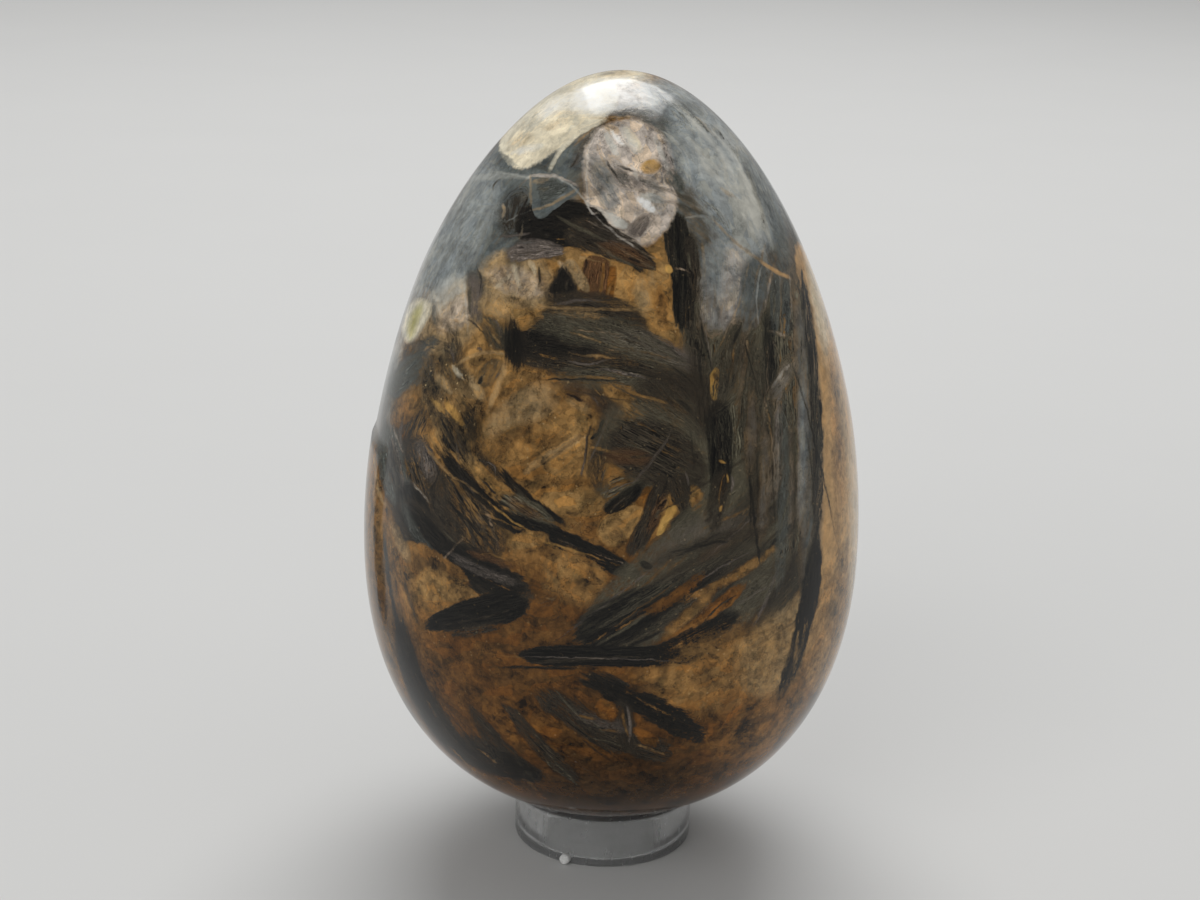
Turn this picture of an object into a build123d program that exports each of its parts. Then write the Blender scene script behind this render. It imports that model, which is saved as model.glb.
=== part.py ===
"""A polished stone egg that stands, blunt end down, in a short clear ring.

The origin is the centre of the ring's foot, on the surface that it stands on.
+Z is up along the axis that the egg and the ring share, and -Y is the side
that a viewer sees first. All lengths are in millimetres and angles in degrees.
"""

import math
import os

from build123d import *

# The egg's overall size
egg_height = 78.0
egg_width = 51.8

# How the egg's outline departs from an ellipse, along its axis from -1 at the
# blunt base to 1 at the tip: narrower towards the tip, full at both ends, and
# a little fuller low down than an even egg
taper_share = -0.220
fullness_share = 0.074
low_belly_share = -0.052

# Stations that the outline passes through, evenly spaced in angle
outline_stations = 12
# Much finer steps, for finding the widest place and where the egg comes to rest
search_steps = 2000

# The clear ring
ring_diameter = 19.0
ring_wall = 3.3
ring_height = 5.3
seat_rounding = 0.9
rim_rounding = 0.4
foot_rounding = 0.3

# The stub left on the ring where its moulding gate was snapped off
stub_diameter = 1.1
stub_stand_out = 0.7
stub_root = 0.8
stub_rounding = 0.25
stub_floor_gap = 0.1
stub_bearing = -113.5

# The gap between the egg and the rounded edge that it sits on
seat_clearance = 0.1

ring_radius = ring_diameter / 2
bore_radius = ring_radius - ring_wall


def outline_swell(share):
    """The outline's half width at a share of the axis, before it is sized to the egg's width."""
    ellipse = math.sqrt(max(0.0, 1 - share**2))
    return ellipse * (1 + taper_share * share + fullness_share * share**2 + low_belly_share * share**3)


def axis_share(angle):
    """The share of the axis, from -1 at the base to 1 at the tip, at an angle from 0 to pi."""
    return -math.cos(angle)


search_angles = [math.pi * step / search_steps for step in range(search_steps + 1)]
widest_swell = max(outline_swell(axis_share(angle)) for angle in search_angles)


def outline_point(angle):
    """Distance from the axis and height above the egg's base, at an angle from 0 to pi."""
    share = axis_share(angle)
    radius = egg_width / 2 * outline_swell(share) / widest_swell
    return radius, egg_height * (1 + share) / 2


def resting_height():
    """The height of the egg's base above the floor when it rests in the ring.

    The seat is a rounding of the bore's upper edge. The egg clears it when each point of
    the outline stays outside a circle about the rounding's centre, larger by the clearance.
    """
    centre_radius = bore_radius + seat_rounding
    centre_height = ring_height - seat_rounding
    reach = seat_rounding + seat_clearance
    lifts = []
    for angle in search_angles[: search_steps // 2]:
        radius, height = outline_point(angle)
        across = radius - centre_radius
        if abs(across) < reach:
            lifts.append(centre_height + math.sqrt(reach**2 - across**2) - height)
    return max(lifts)


egg_base = resting_height()

# The egg: half of its outline turned about the axis
with BuildPart() as egg:
    with BuildSketch(Plane(origin=(0, 0, egg_base), x_dir=(1, 0, 0), z_dir=(0, -1, 0))):
        with BuildLine():
            stations = [
                outline_point(math.pi * station / outline_stations)
                for station in range(outline_stations + 1)
            ]
            # It leaves the axis and comes back to it square, at the pace it has between stations
            side = Spline(*stations, tangents=((1, 0), (-1, 0)), tangent_scalars=(1, 1))
            Line(side @ 1, side @ 0)
        make_face()
    revolve(axis=Axis.Z)
egg.part.label = "egg"

# The ring: its wall turned about the axis, with every corner of the wall rounded
with BuildPart() as ring_stand:
    with BuildSketch(Plane.XZ) as wall:
        with Locations((ring_radius - ring_wall / 2, ring_height / 2)):
            Rectangle(ring_wall, ring_height)
        upper_corners = wall.vertices().group_by(Axis.Y)[-1].sort_by(Axis.X)
        fillet(upper_corners[0], radius=seat_rounding)
        outer_rim = wall.vertices().group_by(Axis.Y)[-1].sort_by(Axis.X)[-1]
        fillet(outer_rim, radius=rim_rounding)
        fillet(wall.vertices().group_by(Axis.Y)[0], radius=foot_rounding)
    revolve(axis=Axis.Z)

    # The stub runs out along its bearing, from inside the wall to just off the rim
    stub_height = stub_floor_gap + stub_diameter / 2
    bearing = Plane.XY.rotated((0, 0, stub_bearing)).x_dir
    root = bearing * (ring_radius - stub_root) + Vector(0, 0, stub_height)
    with BuildSketch(Plane(origin=root, z_dir=bearing)):
        Circle(stub_diameter / 2)
    extrude(amount=stub_root + stub_stand_out)
    outward = Axis((0, 0, 0), tuple(bearing))
    stub_end = ring_stand.edges().filter_by(GeomType.CIRCLE).sort_by(outward)[-1]
    fillet(stub_end, radius=stub_rounding)
ring_stand.part.label = "ring_stand"

os.makedirs("parts", exist_ok=True)
export_step(egg.part, "parts/egg.step")
export_step(ring_stand.part, "parts/ring_stand.step")

print("egg base above the floor", round(egg_base, 3))
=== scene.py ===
"""A polished stone egg standing in a clear ring, laid out as a Blender add-on and run as a script.

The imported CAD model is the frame: the ring's foot is at the origin, +Z is up and -Y faces the viewer.
Lengths are in metres unless a name or a line here says millimetres. Crystals on the side that faces
the viewer are placed by named spots in the photograph, in its 1200 by 900 pixels, and laid on the
egg's own surface.
"""

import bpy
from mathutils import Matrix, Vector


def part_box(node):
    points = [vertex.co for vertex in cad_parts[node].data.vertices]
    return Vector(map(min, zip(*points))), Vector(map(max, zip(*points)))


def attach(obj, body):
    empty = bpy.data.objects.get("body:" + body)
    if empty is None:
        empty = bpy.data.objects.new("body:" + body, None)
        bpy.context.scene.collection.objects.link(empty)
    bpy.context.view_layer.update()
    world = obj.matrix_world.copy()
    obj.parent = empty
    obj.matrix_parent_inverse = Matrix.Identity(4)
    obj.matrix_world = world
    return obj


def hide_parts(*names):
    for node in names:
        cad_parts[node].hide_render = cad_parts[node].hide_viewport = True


bl_info = {
    "name": "Polished Egg on a Clear Ring",
    "version": (1, 0, 0),
    "blender": (4, 5, 0),
    "location": "3D View > Sidebar > Stone Egg",
    "description": "Dresses the packed egg and its ring, and sets up the stage and camera",
    "category": "Object",
}

import math
import random
from collections import namedtuple

import bmesh
import bpy
import numpy as np
from bpy.props import FloatProperty, FloatVectorProperty, IntProperty, PointerProperty
from bpy.types import Operator, Panel, PropertyGroup
from mathutils import Matrix, Vector, noise
from mathutils.bvhtree import BVHTree

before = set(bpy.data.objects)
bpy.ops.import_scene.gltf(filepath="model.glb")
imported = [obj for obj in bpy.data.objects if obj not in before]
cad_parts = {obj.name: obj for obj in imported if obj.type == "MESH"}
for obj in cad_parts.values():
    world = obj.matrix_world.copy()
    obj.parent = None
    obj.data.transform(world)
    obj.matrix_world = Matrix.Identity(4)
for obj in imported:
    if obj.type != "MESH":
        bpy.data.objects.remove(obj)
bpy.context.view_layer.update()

MM = 0.001
EGG_LOW, EGG_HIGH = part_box("egg")
RING_LOW, RING_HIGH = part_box("ring_stand")
PHOTO_WIDTH, PHOTO_HEIGHT = 1200, 900
# The width of the camera's sensor that its lens is given for, in millimetres
SENSOR_WIDTH = 36


# Sizes and colours that a user may change


def colour_setting(title, words, colour):
    """A colour, in linear light."""
    return FloatVectorProperty(
        name=title, description=words, subtype="COLOR", size=3, min=0.0, max=1.0, default=colour
    )


def length_setting(title, words, default):
    """A length, in metres."""
    return FloatProperty(name=title, description=words, default=default, unit="LENGTH")


def angle_setting(title, words, default):
    """An angle, in radians."""
    return FloatProperty(name=title, description=words, default=default, unit="ROTATION")


class EggSizes(PropertyGroup):
    """The egg's outline, and how finely its mesh is made."""

    taper: FloatProperty(name="Taper", description="How the egg narrows towards its tip", default=-0.220)
    fullness: FloatProperty(name="Fullness", description="How full both ends are", default=0.074)
    low_belly: FloatProperty(name="Low belly", description="How far the fullness sits low", default=-0.052)
    stations: IntProperty(name="Stations", description="Points along the outline", default=190, min=8)
    turns: IntProperty(name="Turns", description="Steps round the axis", default=288, min=8)
    hand_polish: length_setting("Hand polish", "Depth of the hollows of hand polishing", 0.16 * MM)
    ledge: length_setting("Ledge", "Depth of the shallow step on the left flank", 0.5 * MM)


class StoneTones(PropertyGroup):
    """Colours of the stone's crystals."""

    tan: colour_setting("Tan", "Common tan groundmass", (0.200, 0.108, 0.034))
    honey: colour_setting("Honey", "Warm golden groundmass", (0.315, 0.182, 0.062))
    sand: colour_setting("Sand", "Pale beige facets", (0.360, 0.250, 0.125))
    # Rust is the real orange-brown low on the egg, made darker as painted shade for its lower half
    rust: colour_setting("Rust", "Orange-brown groundmass low on the egg", (0.145, 0.062, 0.012))
    # Umber is dark brown stone in seams, and is also painted shade under the egg and along its low left rim
    umber_and_shade: colour_setting("Umber", "Dark brown groundmass under the egg", (0.055, 0.027, 0.009))
    apricot: colour_setting("Apricot", "Cream-orange strip on the right flank", (0.600, 0.360, 0.150))
    cream: colour_setting("Cream", "Cream cap at the tip", (0.780, 0.710, 0.540))
    # Milk is white quartz, and is also the painted highlight under the tip, where the overhead lamp's glint
    # falls
    milk_and_glint: colour_setting("Milk", "White quartz at the tip", (0.900, 0.900, 0.870))
    lemon: colour_setting("Lemon", "Yellow-green core at the left edge", (0.500, 0.460, 0.140))
    # Haze is milky blue-grey stone, and partly a painted reflection of soft light on the upper flanks
    haze_and_sheen: colour_setting("Haze", "Milky blue-grey", (0.315, 0.345, 0.348))
    # Mist is slate under the same milky haze, partly painted reflection too
    mist: colour_setting("Mist", "Slate seen through a haze", (0.128, 0.146, 0.143))
    frost: colour_setting("Frost", "Near-white streaks and fractures", (0.560, 0.560, 0.510))
    slate: colour_setting("Slate", "Grey-green slate blades", (0.038, 0.041, 0.036))
    moss: colour_setting("Moss", "Grey-green fibres", (0.042, 0.037, 0.024))
    mauve: colour_setting("Mauve", "Mauve-grey blades", (0.062, 0.051, 0.043))
    blush: colour_setting("Blush", "Clear pinkish crystal", (0.540, 0.470, 0.405))
    peat: colour_setting("Peat", "Brown-black blades", (0.0135, 0.0105, 0.007))
    jet: colour_setting("Jet", "Black blades", (0.0028, 0.0024, 0.0018))
    garnet: colour_setting("Garnet", "Red-brown crystal", (0.048, 0.022, 0.008))
    gold: colour_setting("Gold", "Bright golden inclusions", (0.560, 0.330, 0.090))
    # The bright specks of the speckled ground are painted glints
    speckled: colour_setting("Speckled", "Brown ground full of bright specks", (0.150, 0.100, 0.046))


class RingSizes(PropertyGroup):
    """The clear ring's own sizes, beside those the frame gives."""

    wall: length_setting("Wall", "Thickness of the wall", 3.3 * MM)
    seat: length_setting("Seat", "Rounding that the egg sits on", 0.9 * MM)
    rim: length_setting("Rim", "Rounding of the outer rim", 0.4 * MM)
    foot: length_setting("Foot", "Rounding at the foot", 0.3 * MM)
    turns: IntProperty(name="Turns", description="Steps round the axis", default=160, min=8)
    stub: length_setting("Stub", "Thickness of the snapped stub", 1.1 * MM)
    stub_root: length_setting("Stub root", "How far the stub starts inside the wall", 0.2 * MM)
    stub_stand_out: length_setting("Stub stands out", "How far the stub stands off the wall", 0.7 * MM)
    stub_rounding: length_setting("Stub rounding", "Rounding at the stub's end", 0.25 * MM)
    stub_floor_gap: length_setting("Stub gap", "Gap between the stub and the floor", 0.1 * MM)
    stub_bearing: angle_setting("Stub bearing", "The side that the stub is on", math.radians(-113.5))


class StageSizes(PropertyGroup):
    """The camera, fitted to the egg's outline in the photograph, and the floor."""

    camera_side: length_setting("Side", "Camera's place along X", -1.37 * MM)
    camera_back: length_setting("Back", "Camera's distance before the axis", 227.8 * MM)
    camera_rise: length_setting("Rise", "Camera's height over the floor", 114.8 * MM)
    pitch: angle_setting("Pitch", "Camera's tilt down", 0.3045)
    roll: angle_setting("Roll", "Camera's roll, anticlockwise", 0.0276)
    lens: FloatProperty(name="Lens", description="Focal length on a 36 mm wide sensor", default=69.0)
    world: FloatProperty(name="World", description="Strength of the even light all round", default=0.34)
    floor: colour_setting("Floor", "Plain pale floor", (0.60, 0.60, 0.59))


# Nodes

# How far a material's bumps seem to stand up
BUMP_DEPTH = 0.1 * MM

# How much a crystal's cover thins and thickens over its area
VEIL_SHARE = 0.30


def opaque(colour):
    """A colour setting as a node's colour."""
    return tuple(colour) + (1,)


class Wiring:
    """Adds nodes to a tree in the order in which they are worked out, and joins them."""

    def __init__(self, tree):
        self.tree = tree

    def join(self, sockets, values):
        """Gives each named socket its value, or joins it to another node's socket that stands for one."""
        for name, value in values.items():
            if isinstance(value, bpy.types.NodeSocket):
                self.tree.links.new(value, sockets[name])
            else:
                sockets[name].default_value = value

    def add(self, kind, inputs, output=0, **settings):
        """A node with its settings and inputs. Returns its output, if it has any."""
        made = self.tree.nodes.new(kind)
        for name, value in settings.items():
            setattr(made, name, value)
        self.join(made.inputs, inputs)
        return made.outputs[output] if len(made.outputs) else None

    def group(self, tree, inputs):
        """A node that stands for a node group, with its inputs. Returns its outputs."""
        made = self.tree.nodes.new("ShaderNodeGroup")
        made.node_tree = tree
        self.join(made.inputs, inputs)
        return made.outputs

    def parts(self, vector):
        """The three parts of a vector."""
        made = self.tree.nodes.new("ShaderNodeSeparateXYZ")
        self.join(made.inputs, {0: vector})
        return made.outputs

    def math(self, operation, *values, clamp=False):
        return self.add("ShaderNodeMath", dict(enumerate(values)), operation=operation, use_clamp=clamp)

    def vector(self, operation, *values):
        return self.add("ShaderNodeVectorMath", dict(enumerate(values)), operation=operation)

    def dot(self, first, second):
        return self.add("ShaderNodeVectorMath", {0: first, 1: second}, "Value", operation="DOT_PRODUCT")

    def scaled(self, vector, scale):
        return self.add("ShaderNodeVectorMath", {0: vector, "Scale": scale}, operation="SCALE")

    def mix(self, share, first, second, kind="RGBA"):
        """Mixes two colours, or two vectors where kind is VECTOR."""
        first_input, second_input, output = {"RGBA": (6, 7, 2), "VECTOR": (4, 5, 1)}[kind]
        inputs = {0: share, first_input: first, second_input: second}
        return self.add("ShaderNodeMix", inputs, output, data_type=kind)

    def noise(self, place, scale, detail, rough, swirl=0.0, output=0):
        """Clouds with as many to a millimetre as scale says."""
        inputs = {"Vector": place, "Scale": scale, "Detail": detail, "Roughness": rough}
        return self.add("ShaderNodeTexNoise", {**inputs, "Distortion": swirl}, output)

    def cells(self, place, scale, output="Distance", feature="F1"):
        """Cells that fill space, with as many to a millimetre as scale says."""
        return self.add("ShaderNodeTexVoronoi", {"Vector": place, "Scale": scale}, output, feature=feature)

    def step(self, value, low, high, start=0.0, end=1.0):
        """A smooth rise from start to end as the value goes from low to high."""
        inputs = {"Value": value, "From Min": low, "From Max": high, "To Min": start, "To Max": end}
        return self.add("ShaderNodeMapRange", inputs, interpolation_type="SMOOTHSTEP")

    def bump(self, height, strength):
        inputs = {"Height": height, "Strength": strength, "Distance": BUMP_DEPTH}
        return self.add("ShaderNodeBump", inputs)


def shader_group(name, inputs, outputs):
    """An empty shader node group with named inputs and outputs.

    Returns its wiring, the sockets that its inputs come in by and those that its outputs leave by.
    """
    tree = bpy.data.node_groups.new(name, "ShaderNodeTree")
    for title, kind in inputs.items():
        tree.interface.new_socket(title, in_out="INPUT", socket_type="NodeSocket" + kind)
    for title, kind in outputs.items():
        tree.interface.new_socket(title, in_out="OUTPUT", socket_type="NodeSocket" + kind)
    start = tree.nodes.new("NodeGroupInput")
    end = tree.nodes.new("NodeGroupOutput")
    return Wiring(tree), start.outputs, end.inputs


def new_material(name):
    """A material that holds only its output: the material and its wiring."""
    material = bpy.data.materials.new(name)
    material.use_nodes = True
    material.node_tree.nodes.clear()
    return material, Wiring(material.node_tree)


def finish_material(wiring, inputs):
    """Ends a material with one Principled shader."""
    surface = wiring.add("ShaderNodeBsdfPrincipled", inputs, "BSDF")
    wiring.add("ShaderNodeOutputMaterial", {"Surface": surface})


def crystal_group():
    """One crystal laid over what is already there.

    Along runs from -1 to 1 between the crystal's ends, Across from -1 to 1 between its sides and Deep
    from -1 to 1 through the stone.
    Bow bends it, Taper widens one end and Ends squares them off. Weave is the way across its fibres,
    and Feel how fibrous, grainy and sparkling it is. A fibrous crystal hides the ground under it in
    strands, so its Colour is kept apart from the ground's.
    """
    wiring, given, end = shader_group(
        "crystal",
        {
            "Place": "Vector", "Grit": "Float", "Veil": "Float",
            "Colour": "Color", "Weave": "Vector", "Feel": "Vector",
            "Middle": "Vector", "Along": "Vector", "Across": "Vector", "Deep": "Vector",
            "Bow": "Float", "Taper": "Float", "Ends": "Float", "Ragged": "Float", "Sharp": "Float",
            "Cover": "Float", "Tone": "Color", "Fibres": "Vector", "Touch": "Vector",
        },
        {"Colour": "Color", "Weave": "Vector", "Feel": "Vector"},
    )
    reach = wiring.vector("SUBTRACT", given["Place"], given["Middle"])
    along = wiring.dot(reach, given["Along"])
    across = wiring.dot(reach, given["Across"])
    squared = wiring.math("MULTIPLY", along, along)
    across = wiring.math("MULTIPLY_ADD", squared, given["Bow"], across)
    width = wiring.math("MULTIPLY_ADD", along, given["Taper"], 1.0)
    across = wiring.math("DIVIDE", across, width)
    ends = wiring.math("POWER", squared, given["Ends"])
    deep = wiring.dot(reach, given["Deep"])
    outside = wiring.math("MULTIPLY_ADD", across, across, ends)
    outside = wiring.math("MULTIPLY_ADD", deep, deep, outside)
    outside = wiring.math("MULTIPLY_ADD", given["Grit"], given["Ragged"], outside)
    inside = wiring.math("SUBTRACT", 1.0, outside)
    mask = wiring.math("MULTIPLY_ADD", inside, given["Sharp"], 0.5, clamp=True)
    cover = wiring.math("MULTIPLY_ADD", given["Veil"], VEIL_SHARE, given["Cover"], clamp=True)
    mask = wiring.math("MULTIPLY", mask, cover)
    laid_over = {
        "Colour": wiring.mix(mask, given["Colour"], given["Tone"]),
        "Weave": wiring.mix(mask, given["Weave"], given["Fibres"], "VECTOR"),
        "Feel": wiring.mix(mask, given["Feel"], given["Touch"], "VECTOR"),
    }
    wiring.join(end, laid_over)
    return wiring.tree


# How fibrous, grainy and sparkling each tone is; sparkling sets how thick its painted glints of specks are
FEEL = {
    "tan": (0.0, 1.0, 0.25), "honey": (0.0, 0.9, 0.45), "sand": (0.0, 0.7, 0.15), "rust": (0.0, 1.0, 0.08),
    "umber_and_shade": (0.0, 0.9, 0.0), "apricot": (0.0, 0.3, 0.0), "cream": (0.0, 0.35, 0.0),
    "milk_and_glint": (0.0, 0.05, 0.0), "lemon": (0.0, 0.3, 0.0), "haze_and_sheen": (0.2, 0.5, 0.05), "mist": (0.2, 0.5, 0.0),
    "frost": (0.0, 0.2, 0.0), "slate": (1.0, 0.6, 0.0), "moss": (1.0, 0.7, 0.1), "mauve": (1.0, 0.6, 0.0),
    "blush": (0.0, 0.8, 0.3), "peat": (1.0, 0.6, 0.05), "jet": (1.25, 0.4, 0.0),
    "garnet": (1.0, 0.6, 0.1), "gold": (0.0, 0.5, 0.1), "speckled": (0.45, 1.4, 1.0),
}


# A tone with a greater first value than this makes bundles of fibres
FIBROUS = 0.5


def is_fibrous(tone):
    """Whether crystals of a tone are bundles of fibres, which hide what is under them in strands."""
    return FEEL[tone][0] > FIBROUS


# A crystal: its tone, the pixels of its two ends, its width in pixels, how far its middle bows to the
# left of the way from start to end, how much wider its end is than its start, how square its ends are,
# how ragged and how soft its sides are in pixels, and how much it hides of what lies under it
Crystal = namedtuple(
    "Crystal", "tone start end width bow taper ends ragged soft cover", defaults=(0, 0, 1.0, 2.0, 1.5, 1.0)
)

GROUNDS = [
    Crystal("honey", (420, 330), (700, 300), 150, soft=40, cover=0.6),
    # The lower body in rust: real orange-brown, darker as painted shade
    Crystal("rust", (408, 690), (815, 690), 300, ragged=24, soft=60),
    # Painted shade: a dark band along the underside of the egg
    Crystal("umber_and_shade", (500, 796), (730, 796), 90, ragged=14, soft=36),
    Crystal("umber_and_shade", (400, 668), (650, 622), 110, ragged=26, soft=40, cover=0.45),
    Crystal("tan", (380, 440), (397, 700), 40, -12, ends=3, ragged=6, soft=8, cover=0.9),
    Crystal("moss", (705, 100), (738, 640), 150, 36, ends=3, ragged=8, soft=14),
    # Milky blue-grey over the upper right, partly a painted reflection of soft light on the polish
    Crystal("haze_and_sheen", (652, 84), (786, 240), 66, 16, ends=2, ragged=8, soft=12, cover=0.8),
    Crystal("mist", (640, 112), (776, 300), 116, 8, ends=2, ragged=10, soft=20, cover=0.8),
    Crystal("haze_and_sheen", (684, 118), (758, 256), 78, 12, ends=2, ragged=10, soft=14),
    Crystal("frost", (694, 126), (758, 244), 50, 10, ends=1.5, ragged=12, soft=14, cover=0.72),
    # Painted shade: the low left rim made darker
    Crystal("umber_and_shade", (378, 560), (446, 742), 30, -8, ends=2, ragged=8, soft=12, cover=0.6),
    # The same over the upper left: slate under a milky haze, partly painted reflection
    Crystal("mist", (560, 120), (425, 285), 120, 6, ends=2, ragged=10, soft=18),
    Crystal("haze_and_sheen", (486, 160), (396, 335), 56, 8, ends=2, ragged=6, soft=12, cover=0.75),
    Crystal("frost", (470, 170), (436, 224), 7, 2, ragged=4, soft=6, cover=0.35),
    Crystal("frost", (432, 226), (400, 296), 5, 3, ragged=3, soft=5, cover=0.3),
    Crystal("sand", (752, 692), (808, 596), 62, ends=1.5, ragged=12, soft=14, cover=0.9),
    Crystal("apricot", (806, 236), (822, 690), 44, 28, 0.35, 4, 1, 2.5),
    Crystal("cream", (808, 262), (826, 356), 14, 3, ragged=2, soft=5, cover=0.6),
    Crystal("sand", (832, 360), (846, 500), 10, 3, ragged=3, soft=4, cover=0.7),
    Crystal("sand", (846, 520), (826, 640), 12, 3, ragged=3, soft=5, cover=0.6),
    Crystal("tan", (846, 560), (800, 700), 40, 6, ragged=10, soft=14, cover=0.7),
    Crystal("rust", (831, 345), (839, 525), 11, 3, ragged=5, soft=6, cover=0.5),
    Crystal("cream", (852, 430), (852, 600), 10, 3, ragged=2, soft=5, cover=0.4),
]

LEFT_SHOULDER = [
    Crystal("sand", (430, 356), (474, 282), 52, ragged=8, soft=8, cover=0.85),
    Crystal("frost", (436, 320), (462, 276), 30, 3, ragged=7, soft=7, cover=0.55),
    Crystal("cream", (407, 342), (425, 300), 22, 2, 0.2, 1.5, 2, 4, 0.9),
    Crystal("lemon", (410, 337), (420, 306), 10, 2, ragged=2, soft=5, cover=0.9),
    Crystal("sand", (436, 342), (478, 300), 38, ragged=9, soft=8, cover=0.9),
    Crystal("blush", (440, 330), (474, 298), 26, ragged=9, soft=7, cover=0.45),
    Crystal("moss", (440, 318), (460, 334), 10, ragged=6, soft=4, cover=0.5),
    Crystal("frost", (402, 336), (386, 388), 13, -2, ragged=4, soft=4, cover=0.6),
    Crystal("peat", (428, 336), (452, 356), 12, 0, ragged=8, soft=4, cover=0.6),
    Crystal("haze_and_sheen", (412, 344), (430, 352), 10, 0, ragged=5, soft=5, cover=0.4),
    Crystal("haze_and_sheen", (436, 262), (414, 292), 9, ragged=2, soft=4, cover=0.7),
    Crystal("frost", (446, 252), (430, 272), 2.8, ragged=1, soft=2, cover=0.39),
    Crystal("slate", (433, 302), (437, 330), 8, ragged=2, soft=3, cover=0.7),
    Crystal("sand", (482, 268), (552, 296), 54, 4, ragged=8, soft=8, cover=0.95),
    Crystal("sand", (500, 262), (486, 300), 14, ragged=5, soft=4, cover=0.6),
    Crystal("sand", (536, 272), (512, 302), 16, ragged=5, soft=4, cover=0.6),
    Crystal("garnet", (526, 280), (520, 296), 14, ragged=4, soft=4, cover=0.6),
    Crystal("blush", (490, 274), (546, 290), 26, ragged=9, soft=8, cover=0.35),
    Crystal("cream", (512, 262), (520, 286), 5, ragged=4, soft=3, cover=0.45),
    Crystal("cream", (496, 286), (510, 276), 5, ragged=4, soft=3, cover=0.4),
    Crystal("cream", (530, 262), (536, 274), 5, ragged=4, soft=3, cover=0.4),
    Crystal("umber_and_shade", (500, 266), (506, 282), 5, ragged=4, soft=3, cover=0.5),
    Crystal("umber_and_shade", (538, 270), (546, 292), 8, ragged=5, soft=3, cover=0.6),
    Crystal("umber_and_shade", (508, 298), (530, 308), 7, ragged=5, soft=4, cover=0.5),
    Crystal("cream", (560, 262), (568, 274), 5, ragged=4, soft=3, cover=0.4),
    Crystal("mauve", (473, 270), (476, 326), 16, 1, -0.15, 2, 4, 5, 0.8),
    Crystal("frost", (464, 276), (467, 320), 2, 0, ragged=2, soft=2, cover=0.3),
    Crystal("moss", (482, 314), (502, 350), 24, 2, 0.2, 2, 6, 7, 0.7),
    Crystal("peat", (486, 326), (508, 350), 20, ragged=4, soft=6, cover=0.5),
    Crystal("sand", (478, 302), (512, 318), 18, 2, ragged=7, soft=6, cover=0.65),
    Crystal("mist", (394, 346), (380, 446), 22, -3, ends=2, ragged=5, soft=6, cover=0.8),
    Crystal("slate", (388, 394), (430, 356), 34, -2, 0.1, 1.5, 4, 4, 0.9),
    Crystal("slate", (416, 352), (440, 336), 14, ragged=4, soft=4, cover=0.7),
    Crystal("haze_and_sheen", (384, 392), (400, 362), 3.5, ragged=1, soft=3, cover=0.33),
    Crystal("tan", (392, 425), (420, 388), 22, ragged=5, soft=6, cover=0.8),
    Crystal("speckled", (430, 356), (494, 458), 66, -3, 0.1, 1.5, 10, 10, 0.9),
    Crystal("peat", (452, 330), (458, 366), 20, ragged=8, soft=5, cover=0.7),
    Crystal("jet", (470, 412), (494, 456), 26, ragged=9, soft=6, cover=0.65),
    Crystal("peat", (434, 404), (470, 470), 20, ragged=8, soft=6, cover=0.5),
    Crystal("gold", (446, 402), (462, 424), 8, ragged=5, soft=3, cover=0.5),
    Crystal("sand", (434, 372), (450, 392), 8, ragged=6, soft=3, cover=0.6),
    Crystal("sand", (470, 376), (484, 400), 9, ragged=6, soft=3, cover=0.55),
    Crystal("cream", (452, 366), (462, 378), 5, ragged=4, soft=2, cover=0.5),
    Crystal("gold", (430, 398), (444, 412), 6, ragged=5, soft=3, cover=0.5),
]

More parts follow.
